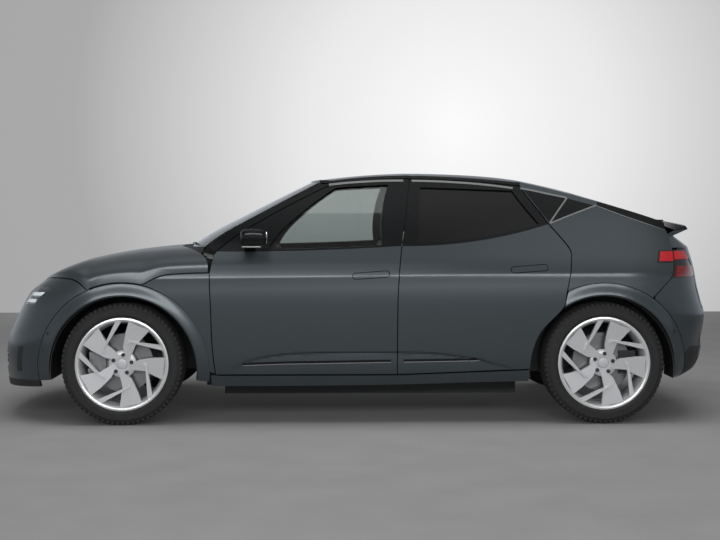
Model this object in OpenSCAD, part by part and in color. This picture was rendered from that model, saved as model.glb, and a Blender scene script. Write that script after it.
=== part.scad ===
// Five-door electric crossover: front is -X, left side is -Y, ground is Z = 0.

/* [Overall] */
// Length over both bumpers
overall_l = 4515; // [4400:5:4700]
// Width over the arch mouldings, without mirrors
body_w = 1890; // [1840:5:1950]
// Height of the roof above the ground
roof_h = 1535; // [1500:5:1600]
// Distance between the axles
wheelbase = 2900; // [2850:5:2960]
// Distance from the nose to the front axle
front_overhang = 845; // [820:5:870]
// Underside of the battery pack above the ground
ground_clear = 150; // [140:1:170]

/* [Wheels] */
// Outer radius of the tyre
tyre_r = 365; // [355:1:370]
// Width of the tyre
tyre_w = 255; // [235:1:265]
// Radius of the rim flange
rim_r = 281; // [265:1:285]
// Distance between the wheel centre planes of one axle
track = 1610; // [1590:2:1620]
// Radius of the brake disc
disc_r = 178; // [160:1:185]
// Thickness of the brake disc
disc_t = 30; // [22:1:36]
// Steering axis inboard of the wheel centre plane
kingpin_in = 50; // [45:1:55]
// Radius of the wheel arch opening
arch_r = 447; // [435:1:455]
// Arch centre below the hub
arch_drop = 39; // [30:1:45]
// Width of the arch moulding
moulding_w = 75; // [60:1:80]
// How far the arch moulding stands out
moulding_out = 16; // [8:1:18]

/* [Panels] */
// Gap round doors and lids
panel_gap = 6; // [6:0.5:8]
// Seam between fixed pieces
seam = 0.5; // [0.3:0.1:0.8]
// Thickness of a whole door below the belt line
door_t = 90; // [80:1:96]
// Thickness of the door frame round the glass
frame_t = 40; // [34:1:46]
// Width of the thin edge flange of a door
flange_w = 22; // [20:1:26]
// Thickness of that flange
flange_t = 8; // [6:1:9]
// Overlap of a door's flange on the aperture
lap = 12; // [8:1:14]
// Thickness of the fixed outer panels
panel_t = 28; // [22:1:32]
// Thickness of the glass
glass_t = 5; // [4:0.5:6]

/* [Cabin] */
// Top of the cabin floor above the battery's underside
floor_rise = 135; // [125:1:145]
// Thickness of the floor
floor_t = 20; // [15:1:25]
// Half width between the sills
sill_in = 750; // [740:1:752]
// Width of a front seat
seat_w = 500; // [470:5:520]
// Distance between the front seats' middles
seat_pitch = 760; // [740:5:780]
// Radius of the steering wheel
steering_r = 185; // [175:1:190]

/* [Hidden] */

// Stations of the axles and the ends, and the styling stations they are drawn from
nose_x0 = -overall_l / 2;
tail_x0 = overall_l / 2;
axle_f = nose_x0 + front_overhang;
axle_r = axle_f + wheelbase;
hub_z = tyre_r;
arch_z = hub_z - arch_drop;
stations = [[-2257.5, nose_x0], [-1412.5, axle_f], [1487.5, axle_r], [2257.5, tail_x0]];
style_h = 1535;
style_w = 1890;
style_arch_z = 326;

function lerp(a, b, t) = a + (b - a) * t;
function clamp(x, lo, hi) = min(max(x, lo), hi);
function ease(t) = let (c = clamp(t, 0, 1)) c * c * (3 - 2 * c);
function sx(x) = lookup(x, stations);
function sy(y) = y * body_w / style_w;
function sz(z) = z <= style_arch_z ? z * arch_z / style_arch_z
    : arch_z + (z - style_arch_z) * (roof_h - arch_z) / (style_h - style_arch_z);
function st(p) = [sx(p[0]), sz(p[1])];
function sts(list) = [for (p = list) st(p)];

// Smooth curve through points sorted by their first value
function seg(x, p, i = 0) = i >= len(p) - 2 || x < p[i + 1][0] ? i : seg(x, p, i + 1);
function slope(p, i) = let (a = max(i - 1, 0), b = min(i + 1, len(p) - 1))
    (p[b][1] - p[a][1]) / (p[b][0] - p[a][0]);
function curve(x, p) = let (
        i = seg(x, p),
        h = p[i + 1][0] - p[i][0],
        t = clamp((x - p[i][0]) / h, 0, 1)
    )
    (2 * t * t * t - 3 * t * t + 1) * p[i][1] + (t * t * t - 2 * t * t + t) * slope(p, i) * h
    + (3 * t * t - 2 * t * t * t) * p[i + 1][1] + (t * t * t - t * t) * slope(p, i + 1) * h;

// Point at a fractional index of a list
function at(list, w) = let (i = clamp(floor(w), 0, len(list) - 2)) lerp(list[i], list[i + 1], w - i);

// Half width of the body against height, and the profiles of nose and tail on the centre line
section = [for (p = [[180, 836], [230, 858], [330, 904], [440, 924], [700, 940], [880, 934], [960, 914],
    [1040, 877], [1250, 768], [1450, 622], [1535, 545]]) [sz(p[0]), sy(p[1])]];
nose = [for (p = [[190, -2248], [300, -2257.5], [420, -2252], [500, -2235], [580, -2198], [660, -2160],
    [740, -2118], [785, -2085], [815, -2044], [850, -1996], [890, -1930]]) [sz(p[0]), sx(p[1])]];
tail = [for (p = [[250, 2110], [300, 2192], [416, 2238], [472, 2234], [550, 2248], [640, 2257.5],
    [724, 2232], [819, 2206], [945, 2185], [1046, 2165], [1120, 2150], [1200, 2138]])
    [sz(p[0]), sx(p[1])]];
nose_c = sx(-1480);
tail_c = sx(1560);
nose_n = 2.8;
tail_n = 3;
barrel = 12;
waist_z = sz(880);

function half_w(x, z) = curve(z, section)
    - barrel * pow(clamp(x / tail_c, -1, 1), 2)
    - 105 * ease((x - sx(200)) / (tail_c - sx(200))) * ease((z - waist_z) / 400)
    - 45 * ease((sx(-300) - x) / 700) * ease((z - sz(960)) / 150);
function oval(t, n) = t <= 0 ? 1 : t >= 1 ? 0 : pow(1 - pow(t, n), 1 / n);
function side_y(x, z) = half_w(x, z)
    * oval((nose_c - x) / (nose_c - curve(z, nose)), nose_n)
    * oval((x - tail_c) / (curve(z, tail) - tail_c), tail_n);

// Points on the nose and the tail by the angle round the corner, set in by d
function nose_pt(a, z, d = 0) = [
    nose_c + (curve(z, nose) + d - nose_c) * pow(cos(a), 2 / nose_n),
    sign(a) * (half_w(nose_c, z) - d) * pow(abs(sin(a)), 2 / nose_n), z];
function tail_pt(a, z, d = 0) = [
    tail_c + (curve(z, tail) - d - tail_c) * pow(cos(a), 2 / tail_n),
    sign(a) * (half_w(tail_c, z) - d) * pow(abs(sin(a)), 2 / tail_n), z];
function nose_angle(x, z) = acos(pow(clamp((nose_c - x) / (nose_c - curve(z, nose)), 0, 1), nose_n / 2));
function tail_angle(x, z) = acos(pow(clamp((x - tail_c) / (curve(z, tail) - tail_c), 0, 1), tail_n / 2));
function tail_angle_y(y, z) = asin(pow(clamp(y / half_w(tail_c, z), 0, 1), tail_n / 2));

// A closed shell between two grids of points; holes are blocks of cells left out
module shell(outer, inner, holes = []) {
    rows = len(outer);
    cols = len(outer[0]);
    back = rows * cols;
    function open_cell(i, j) = i < 0 || j < 0 || i >= rows - 1 || j >= cols - 1
        || len([for (h = holes) if (i >= h[0] && i < h[1] && j >= h[2] && j < h[3]) 1]) > 0;
    function id(i, j) = i * cols + j;
    function wall(p, q) = [[q, p, p + back], [q, p + back, q + back]];
    im = floor(rows / 2) - 1;
    jm = floor(cols / 2) - 1;
    out = cross(outer[im + 1][jm] - outer[im][jm], outer[im][jm + 1] - outer[im][jm])
        * (outer[im][jm] - inner[im][jm]) > 0;
    faces = [for (i = [0 : rows - 2]) for (j = [0 : cols - 2]) if (!open_cell(i, j))
        let (a = id(i, j), b = id(i, j + 1), c = id(i + 1, j + 1), d = id(i + 1, j))
        each concat(
            [[a, b, c], [a, c, d], [d + back, c + back, b + back], [d + back, b + back, a + back]],
            open_cell(i - 1, j) ? wall(a, b) : [],
            open_cell(i, j + 1) ? wall(b, c) : [],
            open_cell(i + 1, j) ? wall(c, d) : [],
            open_cell(i, j - 1) ? wall(d, a) : [])];
    points = concat([for (r = outer) each r], [for (r = inner) each r]);
    polyhedron(points, out ? faces : [for (f = faces) [f[2], f[1], f[0]]]);
}

// The same grid moved by d against its normals
body_core = [0, 0, sz(600)];
function unit(v) = v / norm(v);
function out_of(n, away) = n * away < 0 ? -n : n;
function normal_at(g, i, j) = let (
        r = len(g) - 1,
        c = len(g[0]) - 1
    )
    out_of(unit(cross(g[min(i + 1, r)][j] - g[max(i - 1, 0)][j], g[i][min(j + 1, c)] - g[i][max(j - 1, 0)])),
        g[i][j] - body_core);
function set_in(g, d) = [for (i = [0 : len(g) - 1]) [for (j = [0 : len(g[0]) - 1])
    g[i][j] - d * normal_at(g, i, j)]];
function set_in_side(g, d) = let (n = set_in(g, d), c = len(g[0]) - 1)
    [for (i = [0 : len(g) - 1]) [for (j = [0 : c])
        j == 0 || j == c ? g[i][j] - [0, sign(g[i][j][1]) * d, 0] : n[i][j]]];
function steps(n) = [for (i = [0 : n]) i / n];
function both_ways(n) = [for (i = [-n : n]) i / n];

module right_of() {
    mirror([0, 1, 0]) children();
}

// Shut lines of the doors, from the sill up; the belt line is row 8
belt_row = 8;
top_row = 12;
door_front = sts([[-852, 300], [-866, 420], [-873, 540], [-877, 660], [-882, 770], [-886, 860], [-884, 930],
    [-872, 985], [-850, 1039], [-715, 1145], [-530, 1255], [-330, 1363], [-150, 1452]]);
door_mid = sts([[236, 300], [236, 420], [236, 540], [237, 660], [239, 770], [245, 870], [251, 945],
    [258, 1010], [267, 1072], [282, 1170], [297, 1275], [313, 1385], [328, 1484]]);
door_mid_rear = [for (p = door_mid) p + [panel_gap, 0]];
function arch_x(axle, dir, z, r) = axle + dir * sqrt(max(r * r - (z - arch_z) * (z - arch_z), 0));
door_rear = concat(
    [for (z = [sz(330), sz(440), sz(560)]) [arch_x(axle_r, -1, z, arch_r), z]],
    sts([[1236, 700], [1258, 790], [1276, 880], [1292, 970], [1292, 1054], [1184, 1203], [1150, 1256],
        [1106, 1318], [1064, 1380], [1026, 1441]]));
pillar_front = sts([[-912, 300], [-926, 420], [-933, 540], [-937, 660], [-942, 770], [-946, 860], [-944, 930],
    [-936, 1000], [-920, 1062], [-800, 1152], [-612, 1255], [-412, 1363], [-236, 1456]]);
belt_sag_f = 9;
belt_sag_r = 36;
top_bulge = 8;

// Height correction of a door's rows between its edges
function row_weight(w) = w <= belt_row ? pow(max(w, 0) / belt_row, 2)
    : clamp((top_row - w) / (top_row - belt_row), 0, 1);
function row_bulge(w) = pow(clamp((w - belt_row) / (top_row - belt_row), 0, 1), 2);
function row_lift(u, w, sag) = 4 * u * (1 - u) * (top_bulge * row_bulge(w) - sag * row_weight(w));

// A point of the door side at row w and share u, at a depth behind the skin
function side_pt(p, d) = [p[0], -side_y(p[0], p[1]) + d, p[1]];
function row_xz(a, b, u, w, sag) = lerp(at(a, w), at(b, w), u) + [0, row_lift(u, w, sag)];

// Rows and columns of a door, with the thin flange round its edge
step_w = 4;
sill_line = 12;
head_drop = 40;
head_flange = 27;
function span(a, i) = norm(a[i + 1] - a[i]);
function door_rows(a) = let (
        f0 = flange_w / span(a, 0),
        f1 = (flange_w + step_w) / span(a, 0),
        n = top_row,
        t0 = head_flange / span(a, n - 1),
        t1 = (head_flange + step_w) / span(a, n - 1)
    )
    concat([0, f0, f1, 1, 2, 3, 4, 5, 6, 7, belt_row, belt_row + sill_line / span(a, belt_row)],
        [9, 10, 11, n - head_drop / span(a, n - 1), n - t1, n - t0, n]);
win_row0 = 11;
win_row1 = 15;
win_col0 = 3;
win_col1 = 7;
function door_cols(a, b, w, win, lean) = let (
        len_w = norm(at(b, w) - at(a, w)),
        t = clamp((w - belt_row) / (top_row - belt_row), 0, 1),
        f = lerp(win[0], win[1], t),
        r = lerp(win[2], win[3], t),
        wide = [for (k = lean) flange_w * lerp(1, k, clamp(4 * t, 0, 1)) / len_w],
        more = step_w / len_w
    )
    concat([0, wide[0], wide[0] + more], [for (k = [0 : 4]) lerp(f, r, k / 4)],
        [1 - wide[1] - more, 1 - wide[1], 1]);
function door_grid(a, b, win, sag, lean) = [for (w = door_rows(b))
    [for (u = door_cols(a, b, w, win, lean)) side_pt(row_xz(a, b, u, w, sag), 0)]];
function is_edge(k, n) = k <= 1 || k >= n - 2;
function door_inner(g) = let (rows = len(g), cols = len(g[0]))
    [for (i = [0 : rows - 1]) [for (j = [0 : cols - 1])
        g[i][j] + [0, is_edge(i, rows) || is_edge(j, cols) ? flange_t : i >= win_row0 ? frame_t : door_t, 0]]];
win_front = [0.273, 0.13, 0.9, 0.745];
win_rear = [0.085, 0.1, 0.95, 0.9];
lean_front = [2.2, 1.1];
lean_rear = [1.1, 1.4];

module door(a, b, win, sag, lean) {
    g = door_grid(a, b, win, sag, lean);
    shell(g, door_inner(g), [[win_row0, win_row1, win_col0, win_col1]]);
}

module door_glass(a, b, win, sag, lean) {
    g = door_grid(a, b, win, sag, lean);
    pane = [for (i = [win_row0 : win_row1]) [for (j = [win_col0 : win_col1]) g[i][j]]];
    fit = trim_grid(pane, seam);
    sheet = [for (r = fit) [for (p = r) side_pt([p[0], p[2]], glass_set)]];
    shell(sheet, [for (r = sheet) [for (p = r) p + [0, glass_t, 0]]]);
}
glass_set = 12;

// A grid with its outer rows and columns pulled in by d
function toward(p, q, d) = p + d * unit(q - p);
function trim_grid(g, d) = let (
        r = len(g) - 1,
        c = len(g[0]) - 1,
        h = [for (row = g) [for (j = [0 : c]) j == 0 ? toward(row[0], row[1], d)
            : j == c ? toward(row[c], row[c - 1], d) : row[j]]]
    )
    [for (i = [0 : r]) [for (j = [0 : c]) i == 0 ? toward(h[0][j], h[1][j], d)
        : i == r ? toward(h[r][j], h[r - 1][j], d) : h[i][j]]];

// Edge lines moved square to themselves; positive d goes rearward
function tangent(list, i) = unit(list[min(i + 1, len(list) - 1)] - list[max(i - 1, 0)]);
function shift(list, d) = [for (i = [0 : len(list) - 1])
    let (t = tangent(list, i)) list[i] + d * [t[1], -t[0]]];

// Body side frame: sill, posts and rail round the two door openings
sill_drop = 70;
rail_h = 24;
post_set = 58;
seal_set = flange_t + panel_gap + 2;
sill_set = 24;
frame_in = 110;
rail_in = 62;
edge_in = 7;
arch_rows = 4;
head_lap = 0.08;
head_back = 11;
arch_clear = 8;
frame_rows = concat([[0, -sill_drop], [lap / span(door_front, 0), 0]], [for (w = [1 : top_row - 1]) [w, 0]],
    [[top_row - head_lap, 0], [top_row, panel_gap - seam], [top_row, panel_gap], [top_row, rail_h]]);
rear_line = [for (i = [0 : top_row])
    i < arch_rows ? shift(door_rear, -arch_clear)[i] : shift(door_rear, panel_gap - seam)[i]];
head_us = [0.04, 0.96];
function frame_front(w, dz) = dz > 0
    ? [at(pillar_front, w) + [head_back, 0], at(door_front, w) - [panel_gap, 0],
        at(door_front, w) - [panel_gap - seam, 0], row_xz(door_front, door_mid, head_us[0], w, belt_sag_f)]
    : [at(pillar_front, w), at(shift(door_front, -panel_gap), w),
        at(shift(door_front, seam - panel_gap), w), at(shift(door_front, lap), w)];
function frame_rear(w, dz) = dz > 0
    ? [row_xz(door_mid_rear, door_rear, head_us[1], w, belt_sag_r), at(rear_line, w) - [edge_in / 2, 0]]
    : [at(shift(door_rear, -lap), w), at(rear_line, w)];
function frame_row(w, dz) = [for (p = concat(
        frame_front(w, dz),
        [for (u = [0.33, 0.67]) row_xz(door_front, door_mid, u, w, belt_sag_f)],
        [at(shift(door_mid, -lap), w), at(door_mid, w) + [panel_gap / 2, 0], at(shift(door_mid_rear, lap), w)],
        [for (u = [0.33, 0.67]) row_xz(door_mid_rear, door_rear, u, w, belt_sag_r)],
        frame_rear(w, dz))) p + [0, dz]];
function frame_out(w, dz, c) = w < 0.5 ? sill_set : dz >= panel_gap ? 0 : dz > 0 ? seal_set
    : c <= 1 ? (w < belt_row ? post_set : w == belt_row ? edge_in + 10 : 0)
    : c <= 3 ? (w < belt_row ? post_set : w == belt_row ? 36 : seal_set)
    : c >= 6 && c <= 8 ? (w <= belt_row ? post_set : seal_set + 2) : seal_set;
function frame_back(w, dz) = dz >= rail_h ? edge_in : dz > 0 ? edge_in + 5 : w <= belt_row ? frame_in : rail_in;
frame_grid = [for (r = frame_rows) let (row = frame_row(r[0], r[1]))
    [for (c = [0 : len(row) - 1]) side_pt(row[c], frame_out(r[0], r[1], c))]];
frame_back_grid = [for (r = frame_rows) [for (p = frame_row(r[0], r[1]))
    r[0] < 0.5 ? [p[0], -sill_in, p[1]] : side_pt(p, frame_back(r[0], r[1]))]];
rail_line = frame_grid[len(frame_rows) - 1];

module side_frame() {
    last = len(frame_rows) - 1;
    shell(frame_grid, frame_back_grid, [[1, last - 3, 3, 6], [1, last - 3, 8, 11]]);
}

// Rear quarter panel, from the rear door's shut line to the tail lamp and the tailgate
quarter_t = 70;
edge_t = 14;
groove_r = arch_r + moulding_w;
chord_gap = 4;
swing_gap = 3;
quarter_rows = [4.1, 5, 6, 7, 7.5, 8, 9, 10, 11, 12, 12];
quarter_tail = sts([[1785, 770], [1830, 812], [1880, 858], [1905, 882], [1930, 940], [1945, 1000], [1950, 1046],
    [1947, 1110], [1935, 1165], [1915, 1205], [1880, 1232]]);
quarter_cols = [0, 0.2, 0.4, 0.6, 0.8, 1];
quarter_bulge = 12;
quarter_front = shift(door_rear, panel_gap + 2 * seam);
hatch_col = 2;
function groove_z(x, axle, r) = arch_z + sqrt(max(r * r - (x - axle) * (x - axle), 0));
function quarter_xz(i, u) = let (
        n = len(quarter_rows) - 1,
        k = i / n,
        a = at(quarter_front, quarter_rows[i]) + [0, i == n ? rail_h : 0],
        a0 = at(quarter_front, quarter_rows[0]),
        p = lerp(a, quarter_tail[i], u),
        p0 = lerp(a0, quarter_tail[0], u),
        low = groove_z(p0[0], axle_r, groove_r + chord_gap) - p0[1]
    )
    p + [0, low * pow(1 - k, 2) + quarter_bulge * 4 * u * (1 - u) * k * k];
quarter_grid = [for (i = [0 : len(quarter_rows) - 1]) [for (u = quarter_cols) side_pt(quarter_xz(i, u), 0)]];
function quarter_depth(i, u) = let (n = len(quarter_rows) - 1)
    i == n ? edge_in : i == n - 1 ? edge_in + 1 : u == 1 ? edge_t : u > 0.7 ? 2 * edge_t : quarter_t;
quarter_back = [for (i = [0 : len(quarter_rows) - 1]) [for (j = [0 : len(quarter_cols) - 1])
    quarter_grid[i][j] + [0, quarter_depth(i, quarter_cols[j]), 0]]];
quarter_win = sts([[1222, 1222], [1322, 1352], [1480, 1312]]);
quarter_top = quarter_grid[len(quarter_rows) - 1];

module window_prism(d) {
    rotate([90, 0, 0])
        linear_extrude(height = body_w / 2)
            offset(delta = -d) polygon(quarter_win);
}

module quarter_panel() {
    difference() {
        shell(quarter_grid, quarter_back);
        window_prism(0);
    }
}

module quarter_pane() {
    intersection() {
        shell([for (r = quarter_grid) [for (p = r) p + [0, glass_set, 0]]],
            [for (r = quarter_grid) [for (p = r) p + [0, glass_set + glass_t, 0]]]);
        window_prism(seam);
    }
}

// Front fender, behind the wheel and below the hood's side line
hood_front = sts([[-2085, 792], [-2000, 838], [-1930, 864], [-1870, 876], [-1750, 879], [-1684, 864],
    [-1612, 805], [-1560, 740]]);
hood_rear = sts([[-1400, 780], [-1312, 836], [-1270, 857], [-1210, 888], [-1150, 904], [-1060, 912],
    [-886, 918]]);
function hood_edge_z(x) = max(
    x < sx(-1540) ? curve(x, hood_front) : 0,
    x > sx(-1400) ? curve(x, hood_rear) : 0,
    abs(x - axle_f) < groove_r ? groove_z(x, axle_f, groove_r + panel_gap + chord_gap) : 0);
fender_rows = 11;
fender_a0 = -1;
moulding_step = 7;
function fender_xz(i, u) = let (
        a = fender_a0 + i * moulding_step,
        r = groove_r + seam,
        p = lerp([axle_f + r * cos(a), arch_z + r * sin(a)],
            at(shift(door_front, -panel_gap), 0.1 + 5.65 * i / fender_rows), u),
        q = lerp([axle_f + r * cos(fender_a0 + fender_rows * moulding_step), 0],
            at(shift(door_front, -panel_gap), 5.75), u),
        top = lerp(arch_z + r * sin(fender_a0 + fender_rows * moulding_step),
            at(door_front, 5.75)[1], u)
    )
    p + [0, pow(i / fender_rows, 4) * (hood_edge_z(q[0]) - panel_gap - swing_gap - top)];
fender_grid = [for (i = [0 : fender_rows]) [for (u = steps(5)) side_pt(fender_xz(i, u), 0)]];

module fender() {
    shell(fender_grid, [for (r = fender_grid) [for (p = r) p + [0, sill_set - seam, 0]]]);
}

// Sill cladding under the doors
sill_low = sts([[-890, 226], [-400, 226], [200, 232], [700, 245], [1040, 252]]);
function sill_top(x) = x < door_front[0][0] ? door_front[0][1] - panel_gap
    : lookup(x, [[door_front[0][0], door_front[0][1]], [door_mid[0][0], door_mid[0][1]],
        [door_rear[0][0], door_rear[0][1]]]) - panel_gap - swing_gap;
sill_ends = [sx(-882), door_rear[0][0] - 2];
sill_grid = [for (k = [0, 0.35, 0.7, 1]) [for (u = steps(12)) let (
        x = lerp(sill_ends[0], sill_ends[1], u),
        z = lerp(curve(x, sill_low), sill_top(x), k)
    )
    side_pt([x, z], 0)]];

module sill() {
    shell(sill_grid, [for (r = sill_grid) [for (p = r) p + [0, sill_set - seam, 0]]]);
}

// Arch mouldings with a flange turned in to the wheel-house liner
liner_gap = 2;
liner_t = 6;
arch_flange = 95;
moulding_in = 20;
function moulding_pt(axle, a, k) = let (
        r = arch_r + k * moulding_w,
        x = axle + r * cos(a),
        z = arch_z + r * sin(a)
    )
    [x, -side_y(x, z) - lerp(moulding_out, 2, ease(k)), z];
function moulding_back(p, k) = side_pt([p[0], p[2]], k == 0 ? arch_flange : moulding_in);
moulding_ks = [0, 0.3, 0.65, 1];
front_angles = [for (i = [-1 : 27]) fender_a0 + i * moulding_step];
rear_angles = [for (i = [0 : 18]) i / 18];
rear_start = [122.4, 114.2];
rear_end = -8;

module arch_pair() {
    f = [for (k = moulding_ks) [for (a = front_angles) moulding_pt(axle_f, a, k)]];
    r = [for (k = moulding_ks) [for (t = rear_angles)
        moulding_pt(axle_r, lerp(rear_end, lerp(rear_start[0], rear_start[1], k), t), k)]];
    for (g = [f, r])
        shell(g, [for (i = [0 : len(g) - 1]) [for (p = g[i]) moulding_back(p, moulding_ks[i])]]);
}

// Wheel-house liners
liner_out = 850;
liner_in_f = 475;
rear_floor_w = 640;
liner_cut = 60;

module liner(axle, y_in) {
    translate([axle, -y_in, arch_z]) rotate([90, 0, 0])
        difference() {
            cylinder(r = arch_r - liner_gap, h = liner_out - y_in, $fn = 96);
            translate([0, 0, -1])
                cylinder(r = arch_r - liner_gap - liner_t, h = liner_out - y_in + 2, $fn = 96);
            translate([-arch_r, -arch_r - liner_cut, -1])
                cube([2 * arch_r, arch_r, liner_out - y_in + 2]);
        }
}

// Roof, windscreen and cowl
roof_mid = sts([[-320, 1477], [-171, 1499], [100, 1525], [403, 1535], [914, 1511], [1233, 1454], [1552, 1365],
    [1880, 1248]]);
crown_n = 2.2;
header_bow = [70, 52];
function crown(e, s, x_bow) = [e[0] - x_bow * (1 - s * s), s * (-e[1] - edge_in - seam),
    e[2] + (curve(e[0] - x_bow, roof_mid) - e[2]) * (1 - pow(abs(s), crown_n))];
roof_edge = concat(rail_line, [for (j = [1 : hatch_col]) quarter_top[j]]);
roof_grid = [for (i = [0 : len(roof_edge) - 1]) [for (s = both_ways(5))
    crown(roof_edge[i], s, i < 2 ? header_bow[i] : i == 2 ? header_bow[1] : i == 3 ? 30 : i == 4 ? 8 : 0)]];

roof_edge_in = [18, 12];
module roof_panel() {
    deep = set_in(roof_grid, panel_t);
    c = len(roof_grid[0]) - 1;
    shell(roof_grid, [for (i = [0 : len(deep) - 1]) [for (j = [0 : c])
        j == 0 || j == c ? roof_grid[i][j] - [0, sign(j - 1) * roof_edge_in[0], roof_edge_in[1]]
        : deep[i][j]]]);
}

screen_rows = [8, 8.5, 9, 9.5, 10, 10.5, 11, 11.5, 12];
screen_bow = [150, 58];
screen_t = 6;
screen_edge = shift(pillar_front, -screen_t - seam);
function screen_pt(w, s) = let (
        t = (w - belt_row) / (top_row - belt_row),
        a = at(screen_edge, w),
        bow = lerp(screen_bow[0], screen_bow[1], t),
        e = side_pt(a, edge_in + seam),
        rise = t * (curve(a[0] - bow, roof_mid) - 14 - a[1]) - (1 - t) * 8
    )
    [e[0] - bow * (1 - s * s), -s * e[1], e[2] + rise * (1 - s * s)];
screen_grid = [for (w = screen_rows) [for (s = both_ways(6)) screen_pt(w, s)]];

hood_w = side_y(sx(-893), hood_edge_z(sx(-893)));
hood_back_mid = sx(-1140);
hood_back_side = sx(-898);
hood_mid = sts([[-2085, 793], [-2044, 822], [-1996, 852], [-1885, 906], [-1823, 936], [-1700, 981], [-1577, 1009],
    [-1455, 1029], [-1270, 1050], [-1140, 1060], [-893, 1070]]);
hood_n = 3.5;
function hood_back_x(y) = hood_back_mid + (hood_back_side - hood_back_mid) * pow(abs(y) / hood_w, 2.2);
function hood_z(x, y) = let (e = hood_edge_z(x), w = side_y(x, e))
    e + (max(curve(x, hood_mid), e) - e) * oval(abs(y) / w, hood_n);
cowl_w = 790;
cowl_t = 14;
function cowl_row(k) = [for (s = both_ways(6)) let (
        y = s * cowl_w,
        front = [hood_back_x(y) + panel_gap + 5, y, hood_z(hood_back_x(y), y) - 4],
        base = screen_pt(belt_row, y / -side_pt(screen_edge[belt_row], edge_in + seam)[1])
    )
    lerp(front, base + [-seam - 1, 0, -2], k)];
cowl_grid = [for (k = [0, 0.5, 1]) cowl_row(k)];

// Hood: a clamshell whose sides run down over the wheel arches
hood_t = 22;
hood_corner = sx(-1612);
bumper_top_z = hood_edge_z(hood_corner) - panel_gap;
nose_lock = nose_angle(hood_corner, bumper_top_z);
function edge_solve(a, z, n = 6) = n == 0 ? z : edge_solve(a, hood_edge_z(nose_pt(a, z)[0]), n - 1);
function hood_lip(v) = nose_pt(v * nose_lock, edge_solve(v * nose_lock, sz(850)));
function hood_pt(v, r) = let (
        f = hood_lip(v),
        y1 = v * hood_w,
        x = lerp(f[0], hood_back_x(y1), r),
        e = hood_edge_z(x),
        y = abs(v) == 1 ? sign(v) * side_y(x, e) : lerp(f[1], y1, r)
    )
    r == 0 ? f : [x, y, abs(v) == 1 ? e : hood_z(x, y)];
hood_vs = [for (v = both_ways(9)) sign(v) * pow(abs(v), 0.8)];
hood_rs = [0, 0.03, 0.08, 0.16, 0.27, 0.4, 0.55, 0.7, 0.85, 1];
hood_grid = [for (r = hood_rs) [for (v = hood_vs) hood_pt(v, r)]];

// Front bumper with openings for the lamps and the lower grille
bumper_t = 24;
lip_z = sz(190);
lip_rise = 25;
nose_rows = [0, 0.08, 0.16, 0.3, 0.42, 0.54, 0.66, 0.76, 0.84, 0.92, 1];
nose_cols = [for (s = both_ways(11)) sign(s) * pow(abs(s), 0.9)];
function nose_shut(z) = arch_x(axle_f, -1, min(z, bumper_top_z), groove_r + chord_gap);
function bumper_f(s, w) = let (
        top = edge_solve(s * nose_lock, sz(850)) - panel_gap,
        z = lerp(lip_z + lip_rise * s * s, top, w)
    )
    nose_pt(s * nose_angle(min(nose_shut(z), hood_corner), min(z, bumper_top_z)), z);
nose_grid = [for (w = nose_rows) [for (s = nose_cols) bumper_f(s, w)]];
lamp_cells = [7, 9, 4, 7];
grille_cells = [1, 3, 6, 16];
function mirror_cells(c, n) = [c[0], c[1], n - c[3], n - c[2]];
function cells(g, c) = [for (i = [c[0] : c[1]]) [for (j = [c[2] : c[3]]) g[i][j]]];
lamp_t = 30;
plate_gap = 2;
tub_front = sx(-1900);
tub_w = 430;
bracket = [60, 60];
bracket_front = sx(-2216);
bracket_rear = sx(2205);

module plate_on(c, d0, d1, gap) {
    sides = [for (d = [d0, d1]) trim_grid(cells(set_in(nose_grid, d), c), gap)];
    shell(sides[0], sides[1]);
}

module bumper_front() {
    shell(nose_grid, set_in_side(nose_grid, bumper_t),
        [lamp_cells, mirror_cells(lamp_cells, len(nose_cols) - 1), grille_cells]);
    for (s = [-1, 1])
        translate([bracket_front, s * tub_w * 0.65 - bracket[0] / 2, sz(430)])
            cube([tub_front - seam - bracket_front, bracket[0], bracket[1]]);
}

// Rear bumper, tail lamps and tailgate
hatch_low = sz(690);
lamp_z = [sz(876.6), sz(1044)];
lamp_inner = sy(640);
tail_side = sx(1767);
tail_lock = tail_angle(tail_side, sz(768));
tail_shut = sts([[1700, 690], [1785, 767], [1905, 879], [2260, 879]]);
function tail_solve(a, z, n = 6) = n == 0 ? z : tail_solve(a, lookup(tail_pt(a, z)[0], tail_shut), n - 1);
bumper_low = [sz(252), 14];
tail_rows = [0, 0.1, 0.22, 0.35, 0.5, 0.64, 0.76, 0.88, 1];
tail_step = [0.446, 0.452];
tail_half = [0.15, 0.3, tail_step[0], tail_step[1], 0.52, 0.6, 0.7, 0.8, 0.9, 1];
tail_cols = concat([for (i = [len(tail_half) - 1 : -1 : 0]) -tail_half[i]], [0], tail_half);
step_y = [lamp_inner + 4, lamp_inner + 10];
function tail_turn(s, z, full) = let (k = abs(s), j = (k - tail_step[1]) / (1 - tail_step[1]))
    sign(s) * (j > 0 ? lerp(tail_angle_y(step_y[1], z), full, j)
        : tail_angle_y(lookup(k, [[0, 0], [tail_step[0], step_y[0]], [tail_step[1], step_y[1]]]), z));
function bumper_r(s, w) = let (
        corner = tail_solve(tail_turn(s, sz(850), tail_lock), sz(850)) - 3,
        top = abs(s) > tail_step[0] ? corner : hatch_low - panel_gap,
        z = lerp(bumper_low[0] + bumper_low[1] * s * s, top, w),
        side = arch_x(axle_r, 1, min(z, sz(762)), groove_r + chord_gap)
    )
    tail_pt(tail_turn(s, z, tail_angle(max(side, tail_side), min(z, sz(768)))), z);
tail_grid = [for (w = tail_rows) [for (s = tail_cols) bumper_r(s, w)]];

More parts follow.
